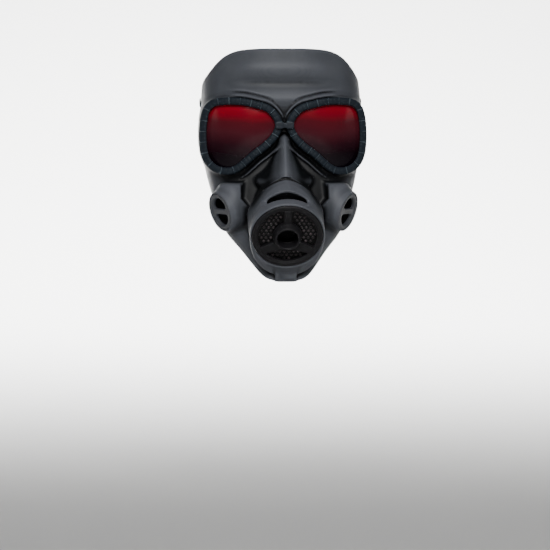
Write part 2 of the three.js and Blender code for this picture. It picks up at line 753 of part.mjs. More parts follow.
// The moulding: everything that is skin joined, less its hollow, trimmed to the outline from the side
function faceShell() {
  let outer = faceSolid(0);
  let hollow = faceSolid(wall);
  const collarOut = rimWidth - collarInset;
  const collarEnd = seatBehind + collarDepth;
  const collar = lensPost(collarOut).intersect(sweepSheet(seatBehind, collarEnd));
  const collarHollow = lensPost(collarOut - wall, 20).intersect(sweepSheet(floorBehind, collarEnd - wall));
  outer = outer.add(collar).add(mirrored(collar));
  outer = outer.add(noseSolid(0)).add(placed(muzzleOuter().add(chinBar()), coverPlace));
  const pod = placed(podOuter(), podPlace(1));
  outer = outer.add(pod).add(mirrored(pod));
  for (const form of BEADS.map(bead)) outer = outer.add(form).add(mirrored(form));
  hollow = hollow.add(collarHollow).add(mirrored(collarHollow)).add(noseSolid(wall));
  const bore = post(coverRadius + gap, -ledgeBack, muzzleLength);
  hollow = hollow.add(placed(muzzleInner().add(bore), coverPlace));
  const podHollow = placed(podInner(), podPlace(1));
  hollow = hollow.add(podHollow).add(mirrored(podHollow));
  const ahead = lensPost(rimWidth + 2 * gap).intersect(sweepSheet(-rearClose, seatBehind));
  const rabbet = lensPost(lensBorder + gap).intersect(sweepSheet(0, rabbetBehind));
  const through = lensPost(-lensLedge, 24);
  const seatRing = lensPost(rimWidth + 2 * gap + wall)
    .intersect(sweepSheet(0, floorBehind))
    .intersect(faceSolid(0));
  const podCup = placed(post(podBore / 2 + podFloor, -podDepth - podFloor, -capThickness), podPlace(1));
  let skin = outer.subtract(hollow);
  for (const part of [seatRing, podCup]) skin = skin.add(part).add(mirrored(part));
  for (const cut of [ahead, rabbet, through, podHollow]) skin = skin.subtract(cut).subtract(mirrored(cut));
  return skin.intersect(sideOutline()).subtract(studHoles());
}

function coverWindows() {
  const [inner, outer] = [hubDiameter / 2, windowOuter / 2];
  const spokeAt = (radius) => Math.acos(spokeWidth / 2 / radius) / DEGREE;
  const outside = arc(outer, -windowEnd, spokeAt(outer), 12);
  const right = [...outside, ...arc(inner, spokeAt(inner), -windowEnd, 8)];
  const left = right.map(([x, y]) => [-x, y]);
  const end = Math.asin(lowerWindowHalf / outer) / DEGREE;
  const corner = -outer * Math.cos(end * DEGREE);
  const steps = 8;
  const top = Array.from({ length: steps + 1 }, (_, i) => {
    const share = 1 - (2 * i) / steps;
    return [share * lowerWindowHalf, corner + (-lowerWindowTop - corner) * (1 - share * share)];
  });
  const lower = [...arc(outer, -end - 90, end - 90, 12), ...top.slice(1, -1)];
  return [right, left, lower];
}

function filterCover() {
  const shape = new THREE.Shape().absarc(0, 0, coverRadius, 0, 360 * DEGREE);
  shape.holes.push(new THREE.Path().absarc(0, 0, hubHole / 2, 0, 360 * DEGREE));
  for (const corners of coverWindows()) shape.holes.push(windowPath(corners));
  const plate = new THREE.ExtrudeGeometry(shape, {
    depth: coverThickness,
    bevelEnabled: false,
    curveSegments: 14,
  });
  const hub = turned([
    [hubHole / 2, -coverThickness],
    [hubDiameter / 2, -coverThickness],
    [hubDiameter / 2, 0],
    [hubFront / 2, hubRise - hubBevel / 2],
    [hubFront / 2 - hubBevel, hubRise],
    [hubHole / 2 + hubMouth, hubRise],
    [hubHole / 2, hubRise - hubMouth],
    [hubHole / 2, -coverThickness],
  ], 28);
  return placed(solid(plate.translate(0, 0, -coverThickness)).add(hub), coverPlace);
}

// Whether a place in the disc lies inside a window by more than a margin
function inWindow(x, y, margin) {
  const radius = Math.hypot(x, y);
  const [inner, outer] = [hubDiameter / 2 + margin, windowOuter / 2 - margin];
  if (radius > outer) return false;
  const below = -Math.tan(windowEnd * DEGREE) * Math.abs(x);
  if (radius > inner && y > below + margin && Math.abs(x) > spokeWidth / 2 + margin) return true;
  const corner = -Math.sqrt((windowOuter / 2) ** 2 - lowerWindowHalf ** 2);
  const share = x / lowerWindowHalf;
  return Math.abs(share) < 1 && y < corner + (-lowerWindowTop - corner) * (1 - share * share) - margin;
}

function filterMesh() {
  const radius = coverRadius - gap;
  let body = post(radius, -meshBack - meshThickness, -meshBack);
  const cup = turned([
    [0, -meshBack - cupDepth - cupWall],
    [hubHole / 2 + cupWall, -meshBack - cupDepth - cupWall],
    [hubHole / 2 + cupWall, -meshBack],
    [0, -meshBack],
  ]);
  body = body.add(cup).subtract(post(hubHole / 2, -meshBack - cupDepth, 0));
  const bumps = [];
  const rows = Math.ceil(windowOuter / meshPitch);
  for (let i = -rows; i <= rows; i++) {
    for (let j = -rows; j <= rows; j++) {
      const x = (j + (i % 2 ? 0.5 : 0)) * meshPitch;
      const y = i * meshPitch * Math.sin(60 * DEGREE);
      if (inWindow(x, y, bumpMargin)) bumps.push([x, y]);
    }
  }
  const sunk = meshThickness / 2;
  const height = bumpHeight + sunk;
  const base = (bumpRadius * height) / bumpHeight;
  for (const [x, y] of bumps) {
    const cone = new THREE.ConeGeometry(base, height, 4);
    const lifted = cone.rotateX(90 * DEGREE).translate(x, y, -meshBack - sunk + height / 2);
    body = body.add(solid(lifted));
  }
  return placed(body, coverPlace);
}

const vinyl = { color: 0x44484c, roughness: 0.55, metalness: 0 };
const rimPaint = { color: 0x262c34, roughness: 0.5, metalness: 0 };
const redLens = { color: 0x7a0f1c, roughness: 0.08, metalness: 0 };
const brownVinyl = { color: 0x2b292d, roughness: 0.6, metalness: 0 };
const elastic = { color: 0x17181a, roughness: 0.9, metalness: 0 };
const steel = { color: 0x55585c, roughness: 0.4, metalness: 0.9 };

const mask = new THREE.Group();
function addPiece(name, body, finish) {
  const mesh = new THREE.Mesh(geometryOf(body), new THREE.MeshStandardMaterial(finish));
  mesh.name = name;
  mask.add(mesh);
}

addPiece("face_shell", faceShell(), vinyl);
const rim = goggleRim();
addPiece("goggle_rim_left", rim, rimPaint);
addPiece("goggle_rim_right", mirrored(rim), rimPaint);
addPiece("lens_left", lens(), redLens);
addPiece("lens_right", mirrored(lens()), redLens);
addPiece("bridge_clip", bridgeClip(), rimPaint);
addPiece("filter_cover", filterCover(), brownVinyl);
addPiece("filter_mesh", filterMesh(), brownVinyl);
const cap = placed(podCap(), podPlace(1));
addPiece("pod_cap_left", cap, vinyl);
addPiece("pod_cap_right", mirrored(cap), vinyl);
addPiece("head_strap", headStrap(), elastic);
addPiece("strap_stud_left", strapStud(), steel);
addPiece("strap_stud_right", mirrored(strapStud()), steel);

export default mask;
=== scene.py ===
import math

import bpy
import numpy as np
import openvdb
from mathutils import Matrix, Vector


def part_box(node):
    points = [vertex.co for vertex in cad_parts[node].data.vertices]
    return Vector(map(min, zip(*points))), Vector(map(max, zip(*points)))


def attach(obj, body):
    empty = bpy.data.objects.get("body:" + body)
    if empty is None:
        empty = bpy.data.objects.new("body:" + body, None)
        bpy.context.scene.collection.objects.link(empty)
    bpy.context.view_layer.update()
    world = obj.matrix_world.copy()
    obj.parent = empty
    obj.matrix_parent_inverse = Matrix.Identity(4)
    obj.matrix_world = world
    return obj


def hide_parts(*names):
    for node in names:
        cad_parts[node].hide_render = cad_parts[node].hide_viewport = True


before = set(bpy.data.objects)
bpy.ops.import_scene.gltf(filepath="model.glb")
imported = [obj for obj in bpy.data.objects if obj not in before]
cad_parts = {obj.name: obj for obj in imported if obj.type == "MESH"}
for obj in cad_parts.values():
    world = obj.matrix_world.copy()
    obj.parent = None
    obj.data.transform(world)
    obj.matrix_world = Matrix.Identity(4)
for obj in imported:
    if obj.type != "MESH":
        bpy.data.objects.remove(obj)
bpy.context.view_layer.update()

# Moulding
# One skin of soft dark grey vinyl, cast in a hollow mould: forehead band, brow, nose ridge, cheeks, stepped
# muzzle, cheek pods and chin. It is worked out here in millimetres as a field of distances on a fine grid,
# negative in the vinyl, and its surface is taken where the field is zero.
MM = 0.001
grain = 0.8
mask_half = 80.5
mask_rise = 41.5
mask_drop = 193.5
side_depth = 77
face_reach = 30
wall = 3
gap = 0.3

# up is a share of the rise or the drop, half of half the width, front of the reach, side of the side depth
# where the section is widest, and square is how boxy its corner is
FACE = [
    # up, half, front, side, square
    (1.4, 0.9, -0.55, 1.0, 2.3),
    (1.0, 0.95, -0.3, 1.0, 2.3),
    (0.62, 0.97, -0.12, 0.98, 2.4),
    (0.36, 0.985, -0.09, 0.95, 2.45),
    (0.18, 0.995, -0.07, 0.92, 2.5),
    (0, 1.0, 0, 0.88, 2.7),
    (-0.05, 1.005, 0.07, 0.82, 2.9),
    (-0.17, 1.012, -0.02, 0.78, 3.2),
    (-0.3, 1.0, -0.2, 0.74, 3.0),
    (-0.4, 0.965, -0.12, 0.68, 2.7),
    (-0.5, 0.91, 0.04, 0.58, 2.5),
    (-0.6, 0.84, 0.2, 0.46, 2.4),
    (-0.7, 0.765, 0.42, 0.3, 2.3),
    (-0.76, 0.68, 0.57, 0.2, 2.25),
    (-0.82, 0.545, 0.66, 0.06, 2.2),
    (-0.91, 0.385, 0.84, -0.14, 2.2),
    (-0.97, 0.29, 0.98, -0.3, 2.3),
    (-1.03, 0.24, 1.0, -0.36, 2.4),
]


def through(rows, column, places):
    """A table's column at places along its first column, on a smooth line through the rows."""
    table = np.array(sorted(rows), float)
    at, value = table[:, 0], table[:, column]
    number = np.arange(len(at))
    before, after = np.maximum(number - 1, 0), np.minimum(number + 1, len(at) - 1)
    slope = (value[after] - value[before]) / (at[after] - at[before])
    i = np.clip(np.searchsorted(at, places) - 1, 0, len(at) - 2)
    span = at[i + 1] - at[i]
    t = np.clip((places - at[i]) / span, 0, 1)
    return (
        value[i] * (2 * t**3 - 3 * t**2 + 1)
        + slope[i] * span * (t**3 - 2 * t**2 + t)
        + value[i + 1] * (3 * t**2 - 2 * t**3)
        + slope[i + 1] * span * (t**3 - t**2)
    )


def blend(a, b, width):
    """Joins two fields with a fillet of about that width."""
    h = np.clip(0.5 + 0.5 * (b - a) / width, 0, 1)
    return b + (a - b) * h - width * h * (1 - h)


def carve(a, b, width):
    """Keeps what lies in both fields, with a rounded edge."""
    return -blend(-a, -b, width)


def hump(value, middle, width):
    return np.exp(-(((value - middle) / width) ** 2))


def ease(value, low, high):
    t = np.clip((value - low) / (high - low), 0, 1)
    return t * t * (3 - 2 * t)


def evened(field):
    """Turns a field into a distance near its surface."""
    slopes = np.gradient(field, grain)
    return field / np.sqrt(sum(s * s for s in slopes) + 1e-4)


x = np.arange(0, 88, grain, dtype=np.float32)[:, None, None]
y = np.arange(-88, 82, grain, dtype=np.float32)[None, :, None]
z = np.arange(-200, 46, grain, dtype=np.float32)[None, None, :]


def fair(values, spread):
    """Evens out a run of values along the levels, over a spread in millimetres."""
    steps = round(3 * spread / grain)
    weights = np.exp(-0.5 * (np.arange(-steps, steps + 1) * grain / spread) ** 2)
    padded = np.pad(values.ravel(), steps, mode="reflect", reflect_type="odd")
    return np.convolve(padded, weights / weights.sum(), "valid").reshape(values.shape)


share = np.where(z > 0, z / mask_rise, z / mask_drop)
half = fair(through(FACE, 1, share), 5) * mask_half
front = fair(through(FACE, 2, share), 5) * face_reach + wall
side = fair(through(FACE, 3, share), 5) * side_depth
square = fair(through(FACE, 4, share), 5)
round_share = (x / half) ** square + np.clip((side - y) / (front + side), 0, None) ** square
face = evened((round_share ** (1 / square) - 1) * half)

# The eye openings: the visible edge of a lens, across from the nose outwards and up from its lowest point
lens_width = 67.5
lens_height = 62.2
lens_spacing = 19.2
lens_drop = 15
LENS = [
    # across, up
    (0, 0.71), (0.117, 0.883), (0.305, 0.953), (0.495, 0.995), (0.72, 1.0),
    (0.892, 0.965), (0.972, 0.823), (1.0, 0.5), (0.969, 0.204), (0.873, 0.055),
    (0.732, 0.0), (0.576, 0.042), (0.344, 0.257), (0.182, 0.391), (0.05, 0.543),
]


def curve_through(points, closed, spans=24):
    """A smooth curve through points of a plane."""
    p = np.array(points, float)
    if closed:
        a, b, c, d = np.roll(p, 1, 0), p, np.roll(p, -1, 0), np.roll(p, -2, 0)
    else:
        ends = np.vstack([p[:1], p, p[-1:]])
        a, b, c, d = ends[:-3], ends[1:-2], ends[2:-1], ends[3:]
    t = np.linspace(0, 1, spans, endpoint=False)[None, :, None]
    a, b, c, d = (k[:, None, :] for k in (a, b, c, d))
    curve = 0.5 * (2 * b + (c - a) * t + (2 * a - 5 * b + 4 * c - d) * t**2 + (3 * b - a - 3 * c + d) * t**3)
    curve = curve.reshape(-1, 2)
    return curve if closed else np.vstack([curve, p[-1:]])


def evenly(loop, count):
    """Points at equal steps round a closed curve."""
    ring = np.vstack([loop, loop[:1]])
    run = np.concatenate([[0], np.cumsum(np.hypot(*np.diff(ring, axis=0).T))])
    places = np.linspace(0, run[-1], count, endpoint=False)
    return np.stack([np.interp(places, run, ring[:, k]) for k in (0, 1)], 1), run[-1]


lens_corners = [
    (lens_spacing / 2 + across * lens_width, -lens_drop - (1 - up) * lens_height) for across, up in LENS
]
lens_steps = 720
lens_loop, lens_round = evenly(curve_through(lens_corners, True), lens_steps)
lens_along = np.roll(lens_loop, -1, 0) - np.roll(lens_loop, 1, 0)
lens_along /= np.hypot(*lens_along.T)[:, None]
lens_out = np.stack([-lens_along[:, 1], lens_along[:, 0]], 1)


def from_outline(corners, across, upward):
    """Distance from a closed outline in a plane, negative inside, and the nearest corner's number."""
    best = np.full(np.broadcast(across, upward).shape, 1e9)
    nearest = np.zeros(best.shape, int)
    inside = np.zeros(best.shape, bool)
    for number, ((ax, ay), (bx, by)) in enumerate(zip(corners, np.roll(corners, -1, 0))):
        ex, ey = bx - ax, by - ay
        t = np.clip(((across - ax) * ex + (upward - ay) * ey) / (ex * ex + ey * ey), 0, 1)
        away = np.hypot(across - ax - t * ex, upward - ay - t * ey)
        nearest = np.where(away < best, number, nearest)
        best = np.minimum(best, away)
        crosses = (ay > upward) != (by > upward)
        inside ^= crosses & (across < ax + (upward - ay) * ex / (ey if abs(ey) > 1e-9 else 1e-9))
    return np.where(inside, -best, best), nearest


rim_width = 7.6
rim_depth = 7
goggle_reach = 12
goggle_sweep = 27
goggle_curl = 2.6
goggle_span = lens_spacing / 2 + lens_width + rim_width


def goggle_front(across):
    """How far forward of the brow the front of the goggles lies."""
    return goggle_reach - goggle_sweep * (np.abs(across) / goggle_span) ** goggle_curl


out, beside = from_outline(lens_loop[::6], x[:, :, 0], z[0])
out = out[:, None, :].astype(np.float32)
beside = beside[:, None, :] / (lens_steps / 6)
behind = y + goggle_front(x)

# Relief of the skin: a bulge and a hollow on the forehead, a bead and a groove over each rim, a ridge below
nearby = (beside + 0.5) % 1 - 0.5
brow_fade = 1 - ease(nearby, 0.17, 0.27)
cheek_stretch = ease(beside, 0.68, 0.76) * (1 - ease(beside, 0.88, 0.94))
forehead = 1 - ease(x, 28, 64)
waves = 1.6 * hump(z, 22, 9) - 1.7 * hump(z, 6, 6) + 1.0 * hump(z, -9, 6)
face = face - forehead * waves + 4 * hump(x, 0, 7) * hump(z, -41, 5)
relief = (
    1.6 * hump(out, 10.2, 1.0) * ease(nearby, -0.01, 0.02) * brow_fade
    - 1.7 * hump(out, 13.2, 1.1) * ease(nearby, 0.04, 0.09) * brow_fade
    + (3.2 * hump(out, 14.0, 1.3) - 1.0 * hump(out, 10.6, 1.3)) * cheek_stretch
)

# The eye frames stand out of the face under the rims
seat_behind = rim_depth + gap
collar_inset = 0.6
collar = np.maximum(out - (rim_width - collar_inset), seat_behind - behind)
skin = blend(face, collar, 4)

# The nose ridge: how far forward its crest is, how steeply its sides fall and how round the crest is
NOSE = [
    # level, reach, fall, round
    (-104, 40, 0.9, 14),
    (-92, 38.5, 1.3, 11),
    (-84, 36.5, 2.0, 8),
    (-76, 32.5, 2.8, 5.5),
    (-68, 27, 3.4, 4.0),
    (-60, 21.5, 3.5, 3.0),
    (-52, 15.5, 3.0, 2.4),
    (-47, 10.5, 2.3, 2.0),
    (-44, 2, 2.0, 1.6),
    (-38, -12, 2.0, 2.0),
]
nose_bottom, nose_half = 104, 34
foot_out, foot_up = 30, -92  # a place on the slanting cut that takes off the outer corner of its foot
reach, fall, crest = (fair(through(NOSE, k, z), 1.5) for k in (1, 2, 3))
nose = (-y - (reach - fall * (np.sqrt(x * x + crest * crest) - crest))) / np.sqrt(1 + fall * fall)
nose = carve(nose, np.maximum(-nose_bottom - z, x - nose_half), 8)
nose = carve(nose, 0.75 * (x - foot_out) - 0.66 * (z - foot_up), 9)
skin = blend(skin, nose, 3)

# The muzzle stands square to the filter's disc. Back is the way from the disc, rise the height over its
# middle, fall the depth under it, and arch how round its upper half is.
disc_tilt = math.radians(30)
disc_reach = 60
disc_drop = 143
disc_radius = 35
MUZZLE = [
    # back, rise, fall, half, arch
    (0, 37.2, 37, 36.6, 2),
    (2.2, 37.4, 45, 36.9, 2),
    (4.2, 37.2, 49, 37, 2),
    (9, 36.9, 50, 37, 2),
    (11.5, 36.3, 50, 36.8, 2),
    (18, 36.5, 50, 37, 1.85),
    (25, 37.2, 50, 37.5, 1.65),
    (28, 37.8, 50, 37.5, 1.6),
    (36, 38.5, 50, 37.5, 1.58),
    (43, 38.8, 49.5, 37.5, 1.58),
    (50, 36.5, 49, 34, 1.6),
    (62, 32, 46, 30, 1.7),
    (75, 28, 40, 27, 1.8),
]
muzzle_end = 70
chin_square = 2.2
ahead = -math.cos(disc_tilt) * (y + disc_reach) - math.sin(disc_tilt) * (z + disc_drop)
over = -math.sin(disc_tilt) * (y + disc_reach) + math.cos(disc_tilt) * (z + disc_drop)
rise, drop, girth, arch = (through(MUZZLE, k, -ahead) for k in (1, 2, 3, 4))
arch = np.where(over > 0, arch, chin_square)
groove_deep = 8.5
groove = ease(-ahead, 11.5, 14) * (1 - ease(-ahead, 23.2, 25.2)) * (1 - ease(x, 13, 27))
rise = rise - groove_deep * groove
tall = np.abs(over) / np.where(over > 0, rise, drop)
share = np.maximum(((x / girth) ** arch + tall**arch) ** (1 / arch), 1e-3)
from_axis = np.sqrt(x * x + over * over)
muzzle = from_axis - from_axis / share
muzzle = carve(muzzle, ahead, 1.5)
muzzle = np.maximum(muzzle, -ahead - muzzle_end)
skin = blend(skin, muzzle, 2.5)

# A deep crease that runs back over the highest ring, under the nose
crease_deep = 7
crease_over = 0.9
crease_half = 1.2 * (1 - ease(x, 23, 30))
ring_back, ring_rise, ring_half, ring_arch = 43, 38.8, 37.5, 1.58
ring_over = ring_rise * np.clip(1 - (x / ring_half) ** ring_arch, 0, 1) ** (1 / ring_arch)
ring_up = -disc_drop + math.sin(disc_tilt) * ring_back + math.cos(disc_tilt) * ring_over
ring_at = -disc_reach + math.cos(disc_tilt) * ring_back - math.sin(disc_tilt) * ring_over
crease = np.maximum(np.abs(z - ring_up - crease_over) - crease_half, y - ring_at - crease_deep)
skin = carve(skin, -crease, 0.8)

# The dark crescent: a slot between the disc's lip and the next ring that runs back under that ring
slot_from, slot_to, slot_floor = 12.5, 31, 20
slot_arch = 1.6
slot_roof = ring_half * np.clip(1 - (x / ring_half) ** slot_arch, 0, 1) ** (1 / slot_arch)
slot_roof = slot_roof - 2.4 - 7 * ease(x, 17, 26)
slot_length = np.maximum(-ahead - slot_to, slot_from + ahead)
slot = np.maximum(slot_length, np.maximum(over - slot_roof, slot_floor - over))
skin = carve(skin, -slot, 1)

# The cheek pods: turned forms that look outwards and a little down, and swell upwards behind their caps
pod_place = (64, -5, -121.5)
pod_turn = math.radians(61)
pod_tilt = math.radians(16)
pod_looks = (
    math.sin(pod_turn) * math.cos(pod_tilt),
    -math.cos(pod_turn) * math.cos(pod_tilt),
    -math.sin(pod_tilt),
)
POD = [
    # ahead, radius
    (-40, 19),
    (-32, 20.5),
    (-20, 22.2),
    (-10, 22),
    (-4, 21.2),
    (0, 20.4),
    (2, 20.2),
]
pod_front = 0.6
pod_top = -92.5
pod_inner = 43.5  # how far from the middle its inner end stands, where it is steepest
pod_ahead = sum((p - c) * k for p, c, k in zip((x, y, z), pod_place, pod_looks))
pod_away = np.sqrt(np.maximum(sum((p - c) ** 2 for p, c in zip((x, y, z), pod_place)) - pod_ahead**2, 0))
pod_over = math.cos(pod_tilt) * (z - pod_place[2]) + math.sin(pod_tilt) * (
    math.sin(pod_turn) * (x - pod_place[0]) - math.cos(pod_turn) * (y - pod_place[1])
)
pod_swell = 1.28
swell = 1 - (1 - 1 / pod_swell**2) * ease(-pod_ahead, 1, 14) * (pod_over > 0)
pod_round = np.sqrt(np.maximum(pod_away**2 - (1 - swell) * pod_over**2, 0))
pod = carve(pod_round - through(POD, 1, pod_ahead), pod_ahead - pod_front, 1.6)
pod = carve(pod, z - pod_top, 3)
pod = carve(pod, pod_inner - x - 0.9 * np.maximum(-108 - z, 0) - 0.5 * np.maximum(y + 6, 0), 2)
skin = blend(skin, pod, 5)

# The chin bar, a block under the disc
bar_half, bar_tall, bar_thick = 10.5, 10.6, 3.5
bar_tuck, bar_back = 1, 1.2
bar = np.maximum(
    np.maximum(x - bar_half, np.abs(over + disc_radius + bar_tall - bar_tuck) - bar_tall),
    np.abs(ahead + bar_thick + bar_back) - bar_thick,
)
skin = blend(skin, bar, 2)


def inwards(field, depth):
    """Moves a surface inwards by a depth, square to itself."""
    steps = round(depth / grain)
    padded = np.pad(field, steps, mode="reflect")
    moved = field.copy()
    a, b, c = field.shape
    reach = range(-steps, steps + 1)
    for i, j, k in ((i, j, k) for i in reach for j in reach for k in reach):
        if (steps - 1) ** 2 < i * i + j * j + k * k <= steps**2 + 0.5:
            part = padded[steps + i : steps + i + a, steps + j : steps + j + b, steps + k : steps + k + c]
            np.maximum(moved, part, out=moved)
    return moved


# The rims as plain forms, which cast the painted shade on the skin beside them
rims = np.maximum(np.maximum(out - rim_width, -behind), behind - seat_behind)

# The seats of the lenses, filter and caps, and the hollow that the head goes in
lens_thickness = 2
lens_border = 2.5
lens_ledge = 1.5
rabbet_behind = seat_behind + lens_thickness + gap
cover_thickness = 4
mesh_thickness = 2
ledge_back = cover_thickness + gap + mesh_thickness + gap
cap_radius = 18.5
cap_thickness = 3
pod_bore = 16
pod_depth = 16
cup_wall = 2.5
hollow = inwards(skin.astype(np.float32), wall)
shell = np.maximum(skin - relief, -hollow)
floor_behind = rabbet_behind + 0.8 * wall
eye_seat = np.maximum(np.maximum(out - (rim_width + wall), behind - floor_behind), skin)
shell = np.minimum(shell, np.maximum(eye_seat, seat_behind - behind))
pod_cup = np.maximum(
    np.maximum(pod_away - (pod_bore + cup_wall), pod_ahead + cap_thickness), -pod_depth - cup_wall - pod_ahead
)
shell = np.minimum(shell, pod_cup)
cuts = [
    np.maximum(out - (rim_width + 2 * gap), behind - seat_behind),
    np.maximum(out - (lens_border + gap), behind - rabbet_behind),
    out + lens_ledge + 0 * y,
    np.maximum(pod_away - pod_bore, -pod_depth - pod_ahead),
    np.maximum(pod_away - (cap_radius + gap), -(cap_thickness + gap) - pod_ahead),
    np.maximum(from_axis - (disc_radius + gap), -ledge_back - ahead),
]
for cut in cuts:
    shell = np.maximum(shell, -cut)

# Its outline from the side. Back is a share of the side depth and up of the rise or the drop.
SIDE = [
    # back, up
    (0.12, 1.0), (0.21, 0.95), (0.29, 0.85), (0.37, 0.7), (0.46, 0.53), (0.58, 0.36),
    (0.74, 0.21), (0.91, 0.08), (0.99, -0.02), (1.0, -0.1), (1.0, -0.26), (0.94, -0.4),
    (0.76, -0.53), (0.46, -0.68), (0.14, -0.8), (-0.16, -0.9), (-0.38, -0.97), (-0.47, -1.0),
]
side_edge = curve_through(
    [(back * side_depth, up * (mask_rise if up > 0 else mask_drop)) for back, up in SIDE], False, 8
)
far_ahead = -140
side_loop = np.vstack([[(far_ahead, mask_rise)], side_edge, [(far_ahead, -mask_drop)]])
trim, _ = from_outline(side_loop, y[0], z[0])
shell = carve(shell, trim[None].astype(np.float32), 1.2)
strap_drop = 13
stud_at = 66
stud_shank = 4
stud_hole = np.hypot(y - stud_at, z + strap_drop) - (stud_shank / 2 + gap)
shell = np.maximum(shell, -stud_hole).astype(np.float32)


def surface(field, corner, size):
    """The surface where a field is zero, as points in millimetres and faces that look outwards."""
    limit = 3 * size
    grid = openvdb.FloatGrid(limit)
    padded = np.pad(np.clip(field, -limit, limit), 1, constant_values=limit)
    grid.copyFromArray(np.ascontiguousarray(padded, dtype=np.float32))
    points, triangles, quads = grid.convertToPolygons(isovalue=0.0, adaptivity=0.0)
    points = (points - 1) * size + np.array(corner)
    faces = [tuple(f) for f in quads] + [tuple(f) for f in triangles]
    a, b, c = (points[quads[:, k]] for k in (0, 1, 2))
    if np.einsum("ij,ij->i", a, np.cross(b, c)).sum() < 0:
        faces = [f[::-1] for f in faces]
    return points, faces


def piece(name, points, faces, crisp=40):
    """A mesh object from points in millimetres, smooth but for edges sharper than an angle."""
    mesh = bpy.data.meshes.new(name)
    mesh.from_pydata((np.asarray(points) * MM).tolist(), [], faces)
    mesh.validate()
    mesh.polygons.foreach_set("use_smooth", [True] * len(mesh.polygons))
    mesh.set_sharp_from_angle(angle=math.radians(crisp))
    made = bpy.data.objects.new(name, mesh)
    bpy.context.scene.collection.objects.link(made)
    return made


def thinned(thing, triangles):
    """Brings a dense mesh down to about that many triangles."""
    count = sum(len(p.vertices) - 2 for p in thing.data.polygons)
    if count <= triangles:
        return
    modifier = thing.modifiers.new("fewer", "DECIMATE")
    modifier.ratio = triangles / count
    plain = bpy.data.meshes.new_from_object(thing.evaluated_get(bpy.context.evaluated_depsgraph_get()))
    thing.modifiers.clear()
    thing.data = plain


def both_sides(field):
    return np.concatenate([field[:0:-1], field])


shell = both_sides(shell)
shell_corner = (-x.max(), y.min(), z.min())
moulding = piece("moulding", *surface(shell, shell_corner, grain), crisp=75)
thinned(moulding, 190000)


def averaged(field, reach):
    """The mean of a field over a block round each place."""
    span = 2 * reach + 1
    for axis in range(3):
        ends = [(reach + 1, reach) if k == axis else (0, 0) for k in range(3)]
        total = np.cumsum(np.pad(field, ends, mode="edge"), axis, dtype=np.float64)
        count = field.shape[axis]
        later = np.take(total, range(span, span + count), axis)
        field = ((later - np.take(total, range(count), axis)) / span).astype(np.float32)
    return field


def at_points(thing, field, corner, size):
    """The value of a field at each point of a mesh."""
    places = np.zeros(len(thing.data.vertices) * 3, np.float32)
    thing.data.vertices.foreach_get("co", places)
    at = (places.reshape(-1, 3) / MM - np.array(corner)) / size
    low = np.clip(np.floor(at).astype(int), 0, np.array(field.shape) - 2)
    part = at - low
    value = np.zeros(len(at))
    for i, j, k in ((i, j, k) for i in (0, 1) for j in (0, 1) for k in (0, 1)):
        weight = np.prod(np.where([i, j, k], part, 1 - part), axis=1)
        value += weight * field[low[:, 0] + i, low[:, 1] + j, low[:, 2] + k]
    return value


def edge_marks(thing, field, corner, size, reach, depth, name="stands_out"):
    """Stores for each point how far it stands out on an edge, or lies in a groove, from 1 to 0."""
    limit = 2 * reach * size
    value = at_points(thing, averaged(np.clip(field, -limit, limit), reach), corner, size)
    marks = thing.data.attributes.new(name, "FLOAT", "POINT")
    marks.data.foreach_set("value", np.clip(0.5 + value / depth, 0, 1).astype(np.float32))


def shade_smoothly(thing, field, corner, size):
    """Turns the shading of each point the way the field rises there."""
    near = np.clip(field, -3 * size, 3 * size)
    slopes = [at_points(thing, slope, corner, size) for slope in np.gradient(near)]
    normals = np.stack(slopes, 1)
    normals /= np.linalg.norm(normals, axis=1)[:, None] + 1e-9
    thing.data.normals_split_custom_set_from_vertices(normals.tolist())


# How much painted shade the skin gets: beside the rims, where they would shadow it, in hollows, and most
# beside the nose
beside_nose = ease(x, 5, 24) * (1 - ease(x, 41, 44.5)) * ease(-z, 56, 68) * (1 - ease(-z, 106, 126))
beside_nose = beside_nose * ease(y, -47, -38)
nose_shade_depth = 3.4
painted_shade_depth = both_sides((np.minimum(skin, rims) - nose_shade_depth * beside_nose).astype(np.float32))
edge_marks(moulding, shell, shell_corner, grain, 2, 1.2)
edge_marks(moulding, painted_shade_depth, shell_corner, grain, 9, 9, "painted_shade")
shade_smoothly(moulding, shell, shell_corner, grain)


def linear(code):
    """A colour from its sRGB code, for a shader."""
    parts = [int(code[k : k + 2], 16) / 255 for k in (1, 3, 5)]
    return tuple(p / 12.92 if p <= 0.04045 else ((p + 0.055) / 1.055) ** 2.4 for p in parts) + (1.0,)


def add(tree, kind, inputs=None, **settings):
    """Adds a node. An input that is given a socket is linked to it, and any other is set."""
    node = tree.nodes.new(kind)
    for key, value in settings.items():
        setattr(node, key, value)
    for key, value in (inputs or {}).items():
        if isinstance(value, bpy.types.NodeSocket):
            tree.links.new(value, node.inputs[key])
        else:
            node.inputs[key].default_value = value
    return node


def ramp(tree, value, stops):
    node = add(tree, "ShaderNodeValToRGB", {"Fac": value})
    elements = node.color_ramp.elements
    while len(elements) < len(stops):
        elements.new(1)
    for element, (place, code) in zip(elements, stops):
        element.position = place
        element.color = linear(code)
    return node.outputs["Color"]


def finish(name, settings):
    """A material with one Principled shader, and its tree."""
    material = bpy.data.materials.new(name)
    material.use_nodes = True
    tree = material.node_tree
    shader = tree.nodes["Principled BSDF"]
    for key, value in settings.items():
        shader.inputs[key].default_value = value
    return material, tree, shader
